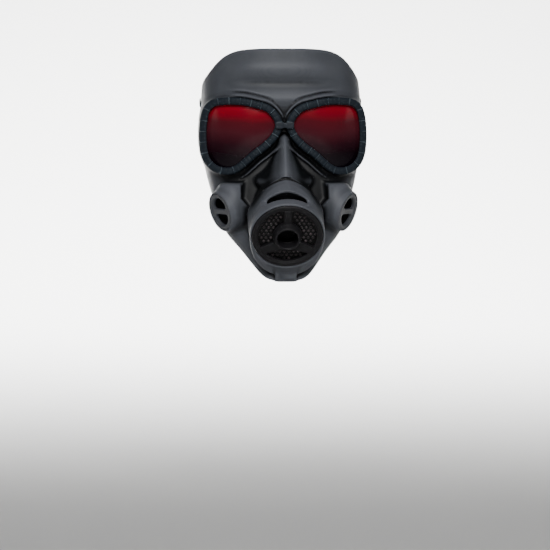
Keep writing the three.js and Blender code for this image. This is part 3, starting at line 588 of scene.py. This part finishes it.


# Moulded soft vinyl: satin, with broad soft highlights. Its colour holds painted light: a painted highlight
# on its edges, and painted shade in its grooves and, where asked, in the hollows beside the rims and the
# nose. The mould's blast grain is about 0.4 mm and is drawn at 1.2 mm, so that it shows.
def moulded_vinyl(name, groove, body, highlit_edge, roughness, hollow_shade=0.0):
    material, tree, shader = finish(name, {"IOR": 1.5, "Specular IOR Level": 0.32})
    place = add(tree, "ShaderNodeTexCoord").outputs["Object"]
    marks = add(tree, "ShaderNodeAttribute", attribute_name="stands_out").outputs["Fac"]
    if hollow_shade:
        open_sky = add(tree, "ShaderNodeAttribute", attribute_name="painted_shade").outputs["Fac"]
        marks = add(
            tree, "ShaderNodeMath", {0: open_sky, 1: hollow_shade, 2: marks}, operation="MULTIPLY_ADD"
        ).outputs["Value"]
        marks = add(tree, "ShaderNodeMath", {0: marks, 1: hollow_shade / 2}, operation="SUBTRACT").outputs["Value"]
    # Painted shade in grooves and hollows, then the body colour, then a painted highlight on edges
    tone = ramp(tree, marks, [(0.2, groove), (0.46, body), (0.56, body), (0.8, highlit_edge)])
    cloud = add(tree, "ShaderNodeTexNoise", {"Vector": place, "Scale": 1 / (35 * MM), "Detail": 4.0})
    shade = add(
        tree, "ShaderNodeMapRange",
        {"Value": cloud.outputs["Fac"], "From Min": 0.3, "From Max": 0.7, "To Min": 0.88, "To Max": 1.1},
    )
    tinted = add(tree, "ShaderNodeVectorMath", {0: tone, "Scale": shade.outputs["Result"]}, operation="SCALE")
    tree.links.new(tinted.outputs["Vector"], shader.inputs["Base Color"])
    dull = add(
        tree, "ShaderNodeMapRange",
        {
            "Value": cloud.outputs["Fac"], "From Min": 0.3, "From Max": 0.7,
            "To Min": roughness - 0.05, "To Max": roughness + 0.06,
        },
    )
    tree.links.new(dull.outputs["Result"], shader.inputs["Roughness"])
    lumps = add(tree, "ShaderNodeTexNoise", {"Vector": place, "Scale": 1 / (9 * MM), "Detail": 2.0})
    soft = add(
        tree, "ShaderNodeBump",
        {"Height": lumps.outputs["Fac"], "Strength": 0.35, "Distance": 0.5 * MM},
    )
    blast = add(tree, "ShaderNodeTexNoise", {"Vector": place, "Scale": 1 / (1.2 * MM), "Detail": 2.0})
    fine = add(
        tree, "ShaderNodeBump",
        {
            "Height": blast.outputs["Fac"], "Strength": 0.25, "Distance": 0.12 * MM,
            "Normal": soft.outputs["Normal"],
        },
    )
    tree.links.new(fine.outputs["Normal"], shader.inputs["Normal"])
    return material


# Both vinyls get painted shade in their grooves and a painted highlight on their edges; the moulding's also
# gets painted shade beside the rims and the nose
vinyl = moulded_vinyl("moulded_grey_vinyl", "#17191c", "#44474d", "#595c63", 0.5)
vinyl_with_painted_shade = moulded_vinyl("grey_vinyl_painted_shade", "#0c0e11", "#46494f", "#5c5f66", 0.5, 1.8)
moulding.data.materials.append(vinyl_with_painted_shade)
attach(moulding, "root")
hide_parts("face_shell")

# Goggle rims
# Each eye has a proud ring of blue-black vinyl, pinched like a hose by thin ribs, which are coloured lighter
# along their crests.
# It is moulded by itself and sits on the eye frame of the moulding, over the edge of the lens.
rib_pitch = 11.5
rib_high = 0.7
pinch_deep = 0.55
pleat_deep = 0.35
section_points = 28
ribs = round((lens_round + math.pi * rim_width) / rib_pitch)
rim_square = 2.8


def ring_faces(rings, points, closed):
    """Faces between rings of equally many points."""
    faces = []
    for i in range(rings if closed else rings - 1):
        here, there = i * points, (i + 1) % rings * points
        for j in range(points):
            k = (j + 1) % points
            faces.append((here + j, here + k, there + k, there + j))
    return faces


def mirrored(points, faces):
    """The same form on the other side of the middle plane, with its faces turned to look outwards."""
    return np.asarray(points) * (-1, 1, 1), [f[::-1] for f in faces]


def goggle_rim():
    turn = np.linspace(0, 2 * math.pi, section_points, endpoint=False)
    across = np.sign(np.cos(turn)) * np.abs(np.cos(turn)) ** (2 / rim_square)
    upward = np.sign(np.sin(turn)) * np.abs(np.sin(turn)) ** (2 / rim_square)
    section_out = 0.5 + 0.5 * across
    section_ahead = np.where(upward > 0, 0.45 + 0.55 * upward, 0.45 + 0.45 * upward)
    steps = np.arange(lens_steps) / lens_steps * ribs % 1
    from_rib = np.minimum(steps, 1 - steps) * lens_round / ribs
    pleat_at = lens_round / ribs / 2
    swell = (
        (rib_high + pinch_deep) * hump(from_rib, 0, 0.55)
        - pinch_deep * hump(from_rib, 0, 1.9)
        - pleat_deep * hump(from_rib, pleat_at, 0.5)
    )
    top = np.clip(upward, 0, 1)
    wide = np.abs(across) * (upward > -0.3)
    rings = []
    for number in range(lens_steps):
        away = section_out * rim_width + 0.35 * swell[number] * np.sign(across) * wide
        place = lens_loop[number] + lens_out[number] * away[:, None]
        high = section_ahead * rim_depth - rib_high + swell[number] * top
        rings.append(np.stack([place[:, 0], rim_depth - high - goggle_front(place[:, 0]), place[:, 1]], 1))
    rib_crest = np.outer(hump(from_rib, 0, 0.7), np.clip(0.3 + upward, 0, 1)).ravel()
    return np.vstack(rings), ring_faces(lens_steps, section_points, True), rib_crest


# Blue-black painted vinyl: satin paint, lighter grey-green in patches along the crests of the ribs, most on
# the front of the ring
def rim_paint():
    material, tree, shader = finish("blue_black_painted_vinyl", {"IOR": 1.5, "Specular IOR Level": 0.22})
    place = add(tree, "ShaderNodeTexCoord").outputs["Object"]
    rib_crest = add(tree, "ShaderNodeAttribute", attribute_name="rib_crest").outputs["Fac"]
    patchy = add(tree, "ShaderNodeTexNoise", {"Vector": place, "Scale": 1 / (14 * MM), "Detail": 3.0})
    crest_tone = add(
        tree, "ShaderNodeMath", {0: rib_crest, 1: patchy.outputs["Fac"]}, operation="MULTIPLY", use_clamp=True
    )
    tone = ramp(tree, crest_tone.outputs["Value"], [(0.0, "#1f272f"), (0.3, "#252e37"), (0.7, "#6b777e")])
    tree.links.new(tone, shader.inputs["Base Color"])
    dull = add(
        tree, "ShaderNodeMapRange", {"Value": patchy.outputs["Fac"], "To Min": 0.5, "To Max": 0.7}
    )
    tree.links.new(dull.outputs["Result"], shader.inputs["Roughness"])
    brush = add(tree, "ShaderNodeTexNoise", {"Vector": place, "Scale": 1 / (1.5 * MM), "Detail": 2.0})
    bump = add(
        tree, "ShaderNodeBump", {"Height": brush.outputs["Fac"], "Strength": 0.05, "Distance": 0.1 * MM}
    )
    tree.links.new(bump.outputs["Normal"], shader.inputs["Normal"])
    return material


painted = rim_paint()
rim_points, rim_faces, rim_rib_crest = goggle_rim()
for side_name, form in (("left", (rim_points, rim_faces)), ("right", mirrored(rim_points, rim_faces))):
    rim = piece("rim_" + side_name, *form)
    marks = rim.data.attributes.new("rib_crest", "FLOAT", "POINT")
    marks.data.foreach_set("value", rim_rib_crest.astype(np.float32))
    rim.data.materials.append(painted)
    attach(rim, "root")
    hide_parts("goggle_rim_" + side_name)

# Lenses
# Thin sheets of red acetate, sprung into a slight dome and held by their edges between the rim and the eye
# frame.
# Their colour holds a painted reflection, bright red at the top, and painted shade, darker towards the cheek.
lens_dome = 3
lens_rings = 14


def lens_sheet():
    stations = lens_loop[::6] + lens_out[::6] * lens_border
    middle = stations.mean(0)
    sheets = []
    for behind_front in (seat_behind, seat_behind + lens_thickness):
        rings = []
        for number in range(1, lens_rings + 1):
            part = number / lens_rings
            place = middle + (stations - middle) * part
            back = behind_front - goggle_front(place[:, 0]) - lens_dome * (1 - part**2)
            rings.append(np.stack([place[:, 0], back, place[:, 1]], 1))
        sheets.append((rings, (middle[0], behind_front - goggle_front(middle[0]) - lens_dome, middle[1])))
    (front_rings, front_middle), (back_rings, back_middle) = sheets
    rings = front_rings + back_rings[::-1]
    count = len(stations)
    points = np.vstack(rings + [[front_middle, back_middle]])
    faces = ring_faces(len(rings), count, False)
    last = (len(rings) - 1) * count
    for j in range(count):
        k = (j + 1) % count
        faces.append((len(points) - 2, k, j))
        faces.append((len(points) - 1, last + j, last + k))
    return points, faces


# Red acetate: glossy. Its colour is a painted reflection, red at its top, and painted shade, nearly black
# below.
# The steps of this painted light are soft and bend with the sheet.
def acetate_painted_reflection():
    material, tree, shader = finish(
        "red_acetate_painted_reflection", {"Roughness": 0.16, "IOR": 1.48, "Specular IOR Level": 0.2, "Coat Weight": 0.1}
    )
    place = add(tree, "ShaderNodeTexCoord").outputs["Object"]
    wave = add(tree, "ShaderNodeTexNoise", {"Vector": place, "Scale": 1 / (55 * MM), "Detail": 0.0})
    parts = add(tree, "ShaderNodeSeparateXYZ", {"Vector": place})
    bent = add(
        tree, "ShaderNodeMath", {0: wave.outputs["Fac"], 1: 22 * MM, 2: parts.outputs["Z"]},
        operation="MULTIPLY_ADD",
    )
    level = add(
        tree, "ShaderNodeMapRange",
        {"Value": bent.outputs["Value"], "From Min": -68 * MM, "From Max": -4 * MM},
    )
    # Painted shade at the bottom, up to the painted reflection in bright red at the top
    stops = [
        (0.0, "#06010a"), (0.2, "#12050e"), (0.38, "#2d111a"), (0.6, "#4e1d26"),
        (0.78, "#5a1822"), (0.9, "#860e20"), (1.0, "#981024"),
    ]
    reflection_tone = ramp(tree, level.outputs["Result"], stops)
    tree.links.new(reflection_tone, shader.inputs["Base Color"])
    return material


acetate = acetate_painted_reflection()
lens_form = lens_sheet()
for side_name, form in (("left", lens_form), ("right", mirrored(*lens_form))):
    lens = piece("acetate_" + side_name, *form)
    lens.data.materials.append(acetate)
    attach(lens, "root")
    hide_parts("lens_" + side_name)

# Bridge clip
# The short moulded bar that links the two rims over the nose, pinched in its middle. It is the same painted
# vinyl as the rims and is pressed on to their fronts.
fine_grain = 0.3
clip_low, clip_high = (np.array(c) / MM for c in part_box("bridge_clip"))
clip_half = (clip_high - clip_low) / 2
clip_middle = (clip_high + clip_low) / 2


def field_box(half_sizes):
    """Grid lines round a middle, with a margin."""
    axes = [np.arange(-h - 2, h + 2 + fine_grain, fine_grain) for h in half_sizes]
    return np.meshgrid(*axes, indexing="ij", sparse=True)


cx, cy, cz = field_box(clip_half)
pinched = clip_half[2] - 0.9 * hump(cx, 0, 2.6)
thinner = clip_half[1] - 0.5 * hump(cx, 0, 2.2)
clip_field = carve(carve(np.abs(cx) - clip_half[0], np.abs(cz) - pinched, 2.4), np.abs(cy) - thinner, 1.2)
clip_corner = (cx.min(), cy.min(), cz.min())
points, faces = surface(clip_field, clip_corner, fine_grain)
clip = piece("clip", points + clip_middle, faces)
edge_marks(clip, clip_field, clip_corner + clip_middle, fine_grain, 2, 0.8)
# Painted shade in its grooves and a painted highlight on its edges
clip.data.materials.append(moulded_vinyl("painted_clip_vinyl", "#14181d", "#262c34", "#59626a", 0.45))
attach(clip, "root")
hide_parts("bridge_clip")

# Filter cover
# A brown-black moulded disc pressed into the muzzle: two side windows, a lower window, a spoke and a hub that
# stands proud round its hole. Its border and the edges of its windows are rounded by the mould.
hub_hole = 10.25
hub_radius = 14.25
hub_rise = 6
hub_front = 12.4
window_outer = 29
window_end = math.radians(28)
lower_half = 20.5
lower_top = 16.2
spoke_half = 4
border_rise = 0.7
disc_place = Matrix.Translation((0, -disc_reach, -disc_drop)) @ Matrix.Rotation(
    math.radians(90) + disc_tilt, 4, "X"
)


def placed(points, matrix):
    turn = np.array(matrix)
    return np.asarray(points) @ turn[:3, :3].T + turn[:3, 3]


def window_fields(across, upward):
    """The side windows and the lower window, negative in the opening."""
    away = np.hypot(across, upward)
    below = -np.sin(window_end) * np.abs(across) - np.cos(window_end) * upward
    side_window = carve(carve(away - window_outer, hub_radius - away, 1.5), below, 1.5)
    side_window = carve(side_window, spoke_half - np.abs(across), 1.5)
    edge = -np.sqrt(window_outer**2 - lower_half**2)
    brow = edge + (-lower_top - edge) * (1 - (across / lower_half) ** 2)
    lower = carve(away - window_outer, (upward - brow) * 0.85, 1.0)
    return np.minimum(side_window, lower)


cx, cy, cz = field_box((disc_radius, disc_radius, hub_rise))
away = np.hypot(cx, cy)
openings = window_fields(cx, cy)
plate_top = border_rise * ease(away, window_outer + 1.2, window_outer + 2.2) * (
    1 - ease(away, disc_radius - 1.0, disc_radius)
)
spoke_top = 0.5 * (1 - ease(np.abs(cx), spoke_half - 2, spoke_half - 0.6)) * (cy > 0) * (away < window_outer)
plate = carve(away - disc_radius, cz - plate_top - spoke_top, 0.9)
plate = carve(plate, -openings, 1.0)
taper = (hub_radius - hub_front) / hub_rise
hub = carve(away - hub_radius + taper * np.clip(cz, 0, None), cz - hub_rise, 1.0)
cover_field = np.minimum(plate, hub)
cover_field = carve(cover_field, hub_hole - away, 1.4)
cover_field = np.maximum(cover_field, -cover_thickness - cz)
cover_corner = (cx.min(), cy.min(), cz.min())
points, faces = surface(cover_field, cover_corner, fine_grain)
cover = piece("cover", points, faces)
thinned(cover, 120000)
edge_marks(cover, cover_field, cover_corner, fine_grain, 2, 0.7)
cover.data.transform(Matrix.Translation(disc_place.translation * MM) @ disc_place.to_3x3().to_4x4())
# Painted shade in its grooves and a painted highlight on its edges
cover_plastic = moulded_vinyl("moulded_brown_black_plastic", "#0c0b0d", "#18171a", "#2b292d", 0.55)
cover.data.materials.append(cover_plastic)
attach(cover, "root")
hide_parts("filter_cover")

# Filter mesh
# The plate behind the windows, with a deep cup behind the hub's hole. Its face is covered in small staggered
# bumps in the windows. It is the same plastic, rubbed to a warm grey on the bumps.
mesh_back = cover_thickness + gap
bump_pitch = 4.6
bump_radius = 1.5
bump_height = 1.3
cup_depth = 9
cup_thick = 1.5


def turned(profile, steps=72):
    """A form turned round its axis, through points of radius and height."""
    angles = np.linspace(0, 2 * math.pi, steps, endpoint=False)
    rings = [np.stack([r * np.cos(angles), r * np.sin(angles), np.full(steps, h)], 1) for r, h in profile]
    points = np.vstack(rings + [[(0, 0, profile[0][1]), (0, 0, profile[-1][1])]])
    faces = ring_faces(len(profile), steps, False)
    last = (len(profile) - 1) * steps
    for j in range(steps):
        k = (j + 1) % steps
        faces.append((len(points) - 2, k, j))
        faces.append((len(points) - 1, last + j, last + k))
    return points, faces


mesh_profile = [
    (hub_hole + cup_thick, -mesh_back - cup_depth - cup_thick),
    (hub_hole + cup_thick, -mesh_back - mesh_thickness),
    (disc_radius - gap, -mesh_back - mesh_thickness),
    (disc_radius - gap, -mesh_back),
    (hub_hole + 0.4, -mesh_back),
    (hub_hole, -mesh_back - 0.5),
    (hub_hole, -mesh_back - cup_depth + 1.5),
    (hub_hole - 1.5, -mesh_back - cup_depth),
]
points, faces = turned(mesh_profile)
plate = piece("mesh_plate", placed(points, disc_place), faces, crisp=30)
mesh_plastic = moulded_vinyl("rubbed_brown_black_plastic", "#0a090a", "#100e10", "#1f1c1e", 0.5)
plate.data.materials.append(mesh_plastic)
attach(plate, "root")
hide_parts("filter_mesh")

row_step = bump_pitch * math.sin(math.radians(60))
count = int(disc_radius / row_step) + 1
spots = []
for row in range(-count, count + 1):
    for column in range(-count, count + 1):
        spot = ((column + 0.5 * (row % 2)) * bump_pitch, row * row_step)
        if window_fields(np.array(spot[0]), np.array(spot[1])) < -1.0:
            spots.append((*spot, -mesh_back))


def bump_tree(material):
    """Geometry nodes that set a low dome on every point."""
    tree = bpy.data.node_groups.new("bumps_on_points", "GeometryNodeTree")
    for name, kind in (("Points", "Geometry"), ("Radius", "Float"), ("Height", "Float")):
        tree.interface.new_socket(name, in_out="INPUT", socket_type="NodeSocket" + kind)
    tree.interface.new_socket("Bumps", in_out="OUTPUT", socket_type="NodeSocketGeometry")
    given = add(tree, "NodeGroupInput").outputs
    ball = add(tree, "GeometryNodeMeshIcoSphere", {"Radius": given["Radius"], "Subdivisions": 3})
    flat = add(tree, "ShaderNodeMath", {0: given["Height"], 1: given["Radius"]}, operation="DIVIDE")
    scale = add(tree, "ShaderNodeCombineXYZ", {"X": 1.0, "Y": 1.0, "Z": flat.outputs["Value"]})
    dome = add(
        tree, "GeometryNodeTransform",
        {"Geometry": ball.outputs["Mesh"], "Scale": scale.outputs["Vector"]},
    )
    set_down = add(
        tree, "GeometryNodeInstanceOnPoints",
        {"Points": given["Points"], "Instance": dome.outputs["Geometry"]},
    )
    real = add(tree, "GeometryNodeRealizeInstances", {"Geometry": set_down.outputs["Instances"]})
    smooth = add(tree, "GeometryNodeSetShadeSmooth", {"Geometry": real.outputs["Geometry"]})
    coated = add(
        tree, "GeometryNodeSetMaterial", {"Geometry": smooth.outputs["Geometry"], "Material": material}
    )
    add(tree, "NodeGroupOutput", {"Bumps": coated.outputs["Geometry"]})
    return tree


def grown(name, points, tree, values):
    """Runs a tree on bare points and keeps its result as a plain mesh."""
    mesh = bpy.data.meshes.new(name)
    mesh.from_pydata((np.asarray(points) * MM).tolist(), [], [])
    made = bpy.data.objects.new(name, mesh)
    bpy.context.scene.collection.objects.link(made)
    modifier = made.modifiers.new(name, "NODES")
    modifier.node_group = tree
    for item in tree.interface.items_tree:
        if item.item_type == "SOCKET" and item.in_out == "INPUT" and item.name in values:
            modifier[item.identifier] = values[item.name]
    plain = bpy.data.meshes.new_from_object(made.evaluated_get(bpy.context.evaluated_depsgraph_get()))
    made.modifiers.clear()
    made.data = plain
    return made


# Rubbed plastic on the bumps: warm grey specks of different lightness
def rubbed_bumps():
    material, tree, shader = finish("rubbed_bump_plastic", {"IOR": 1.5, "Roughness": 0.4})
    place = add(tree, "ShaderNodeTexCoord").outputs["Object"]
    speck = add(tree, "ShaderNodeTexNoise", {"Vector": place, "Scale": 1 / (5 * MM), "Detail": 3.0})
    tone = ramp(tree, speck.outputs["Fac"], [(0.35, "#171415"), (0.5, "#262123"), (0.7, "#4c4245")])
    tree.links.new(tone, shader.inputs["Base Color"])
    return material


bump_sizes = {"Radius": bump_radius * MM, "Height": bump_height * MM}
bumps = grown("mesh_bumps", spots, bump_tree(rubbed_bumps()), bump_sizes)
bumps.data.transform(Matrix.Translation(disc_place.translation * MM) @ disc_place.to_3x3().to_4x4())
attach(bumps, "root")

# Pod caps
# Each cheek pod ends in a moulded ring with a crossbar and two oval holes, of the same grey vinyl as the
# mask. It is pushed into the pod.
cap_bar = 2.7
cap_border = 4.6
hole_squash = 0.86
cx, cy, cz = field_box((cap_radius, cap_radius, cap_thickness))
away = np.hypot(cx, cy)
hole = np.hypot(cx / hole_squash, cy) - (cap_radius - cap_border)
hole = carve(hole * hole_squash, cap_bar - np.abs(cy), 5.0)
cap_field = carve(away - cap_radius, cz + 0.5 * (1 - ease(away, cap_radius - 4.2, cap_radius - 3)), 0.8)
cap_field = carve(cap_field, -hole, 1.2)
cap_field = np.maximum(cap_field, -cap_thickness - cz)
cap_corner = (cx.min(), cy.min(), cz.min())
points, faces = surface(cap_field, cap_corner, fine_grain)
looks = Vector(pod_looks)
upward = (Vector((0, 0, 1)) - looks * looks.z).normalized()
pod_matrix = Matrix((upward.cross(looks), upward, looks)).transposed().to_4x4()
pod_matrix.translation = pod_place
cap_points = placed(points, pod_matrix)

# The marks for the painted shade in grooves and the painted highlight on edges are found once, on a cap that
# isn't in its place yet
unplaced = piece("unplaced_cap", points, faces)
edge_marks(unplaced, cap_field, cap_corner, fine_grain, 2, 0.7)
cap_marks = np.zeros(len(points), np.float32)
unplaced.data.attributes["stands_out"].data.foreach_get("value", cap_marks)
bpy.data.objects.remove(unplaced)
for side_name, form in (("left", (cap_points, faces)), ("right", mirrored(cap_points, faces))):
    cap = piece("cap_" + side_name, *form)
    cap.data.attributes.new("stands_out", "FLOAT", "POINT").data.foreach_set("value", cap_marks)
    cap.data.materials.append(vinyl)
    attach(cap, "root")
    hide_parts("pod_cap_" + side_name)

# Head strap
# Flat black woven elastic, 20 mm wide, that runs inside the moulding from stud to stud round the back of the
# head. Rubber cords run along it, with the weave over them.
strap_low, strap_high = (np.array(c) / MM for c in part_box("head_strap"))
strap_half = strap_high[0]
strap_start = strap_low[1]
strap_back = strap_high[1]
strap_width = 20
strap_thickness = 1.5
strap_rise = math.radians(6)
strap_straight = 88
strap_bend = 0.9


def strap_band():
    angles = np.linspace(0, math.pi / 2, 90)
    bend = np.stack(
        [
            strap_half * np.cos(angles) ** strap_bend,
            strap_straight + (strap_back - strap_straight) * np.sin(angles) ** strap_bend,
        ],
        1,
    )
    bend[-1, 0] = 0
    backward = np.linspace(strap_start, strap_straight, 24, endpoint=False)
    straight = np.stack([np.full(24, strap_half), backward], 1)
    right_side = np.vstack([straight, bend])
    path = np.vstack([right_side * (-1, 1), right_side[-2::-1]])
    path = path[np.concatenate([[True], np.hypot(*np.diff(path, axis=0).T) > 1e-6])]
    along = np.gradient(path, axis=0)
    along /= np.hypot(*along.T)[:, None]
    inward = np.stack([along[:, 1], -along[:, 0]], 1)
    run = np.concatenate([[0], np.cumsum(np.hypot(*np.diff(path, axis=0).T))])
    turn = np.linspace(0, 2 * math.pi, 40, endpoint=False)
    deep = np.sign(np.cos(turn)) * np.abs(np.cos(turn)) ** (1 / 3)
    high = np.sign(np.sin(turn)) * np.abs(np.sin(turn)) ** (1 / 6)
    rings = []
    for place, aside in zip(path, inward):
        climb = max(0, place[1] - side_depth) * math.tan(strap_rise)
        level = -strap_drop + climb + high * strap_width / 2
        flat = place + aside * (strap_thickness * (0.5 + 0.5 * deep))[:, None]
        rings.append(np.column_stack([flat, level]))
    return np.vstack(rings), ring_faces(len(path), 40, False), run, high * strap_width / 2


points, faces, run, lift = strap_band()
count = len(lift)
faces += [tuple(range(count)), tuple(range(len(points) - 1, len(points) - 1 - count, -1))]
strap = piece("strap", points, faces, crisp=50)
strap_map = strap.data.uv_layers.new(name="strap_map")
corner_at = np.zeros(len(strap.data.loops), int)
strap.data.loops.foreach_get("vertex_index", corner_at)
laid_out = np.stack([run[corner_at // count], lift[corner_at % count]], 1) * MM
strap_map.data.foreach_set("uv", laid_out.astype(np.float32).ravel())


# Woven elastic: polyester yarn over rubber cords, matt, with a faint sheen. Cords are 1.1 mm apart and are
# drawn at 1.6 mm, the cross threads 0.6 mm apart and drawn at 1.1 mm, so that they show.
def woven_elastic():
    material, tree, shader = finish(
        "woven_black_elastic", {"Roughness": 0.85, "IOR": 1.5, "Sheen Weight": 0.25, "Sheen Roughness": 0.4}
    )
    laid = add(tree, "ShaderNodeUVMap", uv_map="strap_map").outputs["UV"]
    parts = add(tree, "ShaderNodeSeparateXYZ", {"Vector": laid})
    heights = []
    for axis, pitch in (("Y", 1.6), ("X", 1.1)):
        turns = add(
            tree,
            "ShaderNodeMath",
            {0: parts.outputs[axis], 1: 2 * math.pi / (pitch * MM)},
            operation="MULTIPLY",
        )
        wave = add(tree, "ShaderNodeMath", {0: turns.outputs["Value"]}, operation="SINE")
        heights.append(wave.outputs["Value"])
    woven = add(tree, "ShaderNodeMath", {0: heights[0], 1: heights[1]}, operation="MULTIPLY")
    cords = add(
        tree, "ShaderNodeMath", {0: heights[0], 1: 0.8, 2: woven.outputs["Value"]}, operation="MULTIPLY_ADD"
    )
    cord_span = {"Value": cords.outputs["Value"], "From Min": -1.6, "From Max": 1.6}
    level = add(tree, "ShaderNodeMapRange", cord_span)
    tone = ramp(tree, level.outputs["Result"], [(0.2, "#0d0e0f"), (0.6, "#1a1b1d"), (0.95, "#2a2b2e")])
    tree.links.new(tone, shader.inputs["Base Color"])
    bump = add(
        tree, "ShaderNodeBump", {"Height": level.outputs["Result"], "Strength": 0.7, "Distance": 0.4 * MM}
    )
    tree.links.new(bump.outputs["Normal"], shader.inputs["Normal"])
    return material


strap.data.materials.append(woven_elastic())
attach(strap, "root")
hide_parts("head_strap")

# Strap studs
# Plain blackened steel studs with low domed heads, one at each temple. Each goes through the skin and the
# strap, and holds them together.
stud_low, stud_high = (np.array(c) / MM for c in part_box("strap_stud_left"))
stud_radius = (stud_high[1] - stud_low[1]) / 2
head_thick = 1.5
shank = stud_shank / 2
length = stud_high[0] - stud_low[0]
stud_profile = [
    (stud_radius - 0.5, 0),
    (stud_radius, 0.4),
    (stud_radius, head_thick - 0.3),
    (stud_radius - 0.3, head_thick),
    (shank, head_thick),
    (shank, length - head_thick),
    (stud_radius - 0.2, length - head_thick),
    (stud_radius, length - head_thick + 0.25),
    (stud_radius - 0.4, length - 0.75),
    (stud_radius * 0.75, length - 0.3),
    (stud_radius * 0.4, length - 0.05),
]
stud_turn = Matrix.Rotation(math.radians(90), 4, "Y")
stud_matrix = Matrix.Translation((stud_low[0], stud_at, -strap_drop)) @ stud_turn
points, faces = turned(stud_profile, 48)
stud_points = placed(points, stud_matrix)


# Blackened steel: dark oxide, with bright rubbing in fine rings
def blackened_steel():
    material, tree, shader = finish("blackened_steel", {"Metallic": 1.0})
    place = add(tree, "ShaderNodeTexCoord").outputs["Object"]
    rub = add(tree, "ShaderNodeTexNoise", {"Vector": place, "Scale": 1 / (3 * MM), "Detail": 4.0})
    tone = ramp(tree, rub.outputs["Fac"], [(0.4, "#2b2d30"), (0.65, "#4b4e52")])
    tree.links.new(tone, shader.inputs["Base Color"])
    dull = add(tree, "ShaderNodeMapRange", {"Value": rub.outputs["Fac"], "To Min": 0.25, "To Max": 0.5})
    tree.links.new(dull.outputs["Result"], shader.inputs["Roughness"])
    return material


steel = blackened_steel()
for side_name, form in (("left", (stud_points, faces)), ("right", mirrored(stud_points, faces))):
    stud = piece("stud_" + side_name, *form, crisp=35)
    stud.data.materials.append(steel)
    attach(stud, "root")
    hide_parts("strap_stud_" + side_name)

# Studio
# A pale floor that rises into a backdrop, soft light from in front and above, and the camera at the photo's
# angle: 3.3 degrees to the wearer's right, level with the brow, 2.6 m away, with one pixel to the millimetre.
picture = 550
view_turn = math.radians(-3.3)
view_away = 2.6
origin_pixel = (284, 90)
floor_level = -0.44
sensor = 36.0
camera_data = bpy.data.cameras.new("camera")
camera_data.sensor_width = sensor
camera_data.lens = sensor * view_away / (picture * MM)
camera = bpy.data.objects.new("camera", camera_data)
bpy.context.scene.collection.objects.link(camera)
toward = Vector((-math.sin(view_turn), math.cos(view_turn), 0))
camera.location = -toward * view_away
pan = math.atan((picture / 2 - origin_pixel[0]) * MM / view_away)
pitch = math.atan((picture / 2 - origin_pixel[1]) * MM / view_away)
camera.rotation_euler = (math.radians(90) - pitch, 0, view_turn - pan)
camera_data.clip_end = 20
bpy.context.scene.camera = camera

sweep = []
for place in np.linspace(0, 1, 24):
    angle = place * math.pi / 2
    sweep.append((2.2 + 1.2 * math.sin(angle), floor_level + 1.2 * (1 - math.cos(angle))))
profile = [(-4.0, floor_level)] + sweep + [(3.4, 4.0)]
corners = [(side_x, back, level) for back, level in profile for side_x in (-5, 5)]
floor_mesh = bpy.data.meshes.new("floor")
floor_mesh.from_pydata(corners, [], [(i, i + 1, i + 3, i + 2) for i in range(0, len(corners) - 2, 2)])
floor_mesh.polygons.foreach_set("use_smooth", [True] * len(floor_mesh.polygons))
floor = bpy.data.objects.new("floor", floor_mesh)
bpy.context.scene.collection.objects.link(floor)
paper, _, _ = finish("white_paper", {"Base Color": linear("#cbcbca"), "Roughness": 0.9})
floor.data.materials.append(paper)


def soft_light(name, place, aim, size, power, spread=180):
    data = bpy.data.lights.new(name, "AREA")
    data.spread = math.radians(spread)
    data.shape = "RECTANGLE"
    data.size, data.size_y = size
    data.energy = power
    light = bpy.data.objects.new(name, data)
    light.location = place
    light.rotation_euler = (Vector(aim) - Vector(place)).to_track_quat("-Z", "Y").to_euler()
    bpy.context.scene.collection.objects.link(light)


middle = (0, 0, -0.07)
soft_light("key", (-0.1, -2.2, 1.3), middle, (1.6, 0.9), 55)
soft_light("fill_right", (2.2, -0.6, 0.7), middle, (0.8, 1.4), 3.2)
soft_light("fill_left", (-2.2, -0.6, 0.7), middle, (0.8, 1.4), 3.2)
soft_light("backdrop", (0, 1.5, 2.6), (0, 2.6, -0.3), (3.5, 1.5), 330, 80)
world = bpy.data.worlds.new("studio")
world.use_nodes = True
world.node_tree.nodes["Background"].inputs["Color"].default_value = linear("#ffffff")
world.node_tree.nodes["Background"].inputs["Strength"].default_value = 0.04
bpy.context.scene.world = world
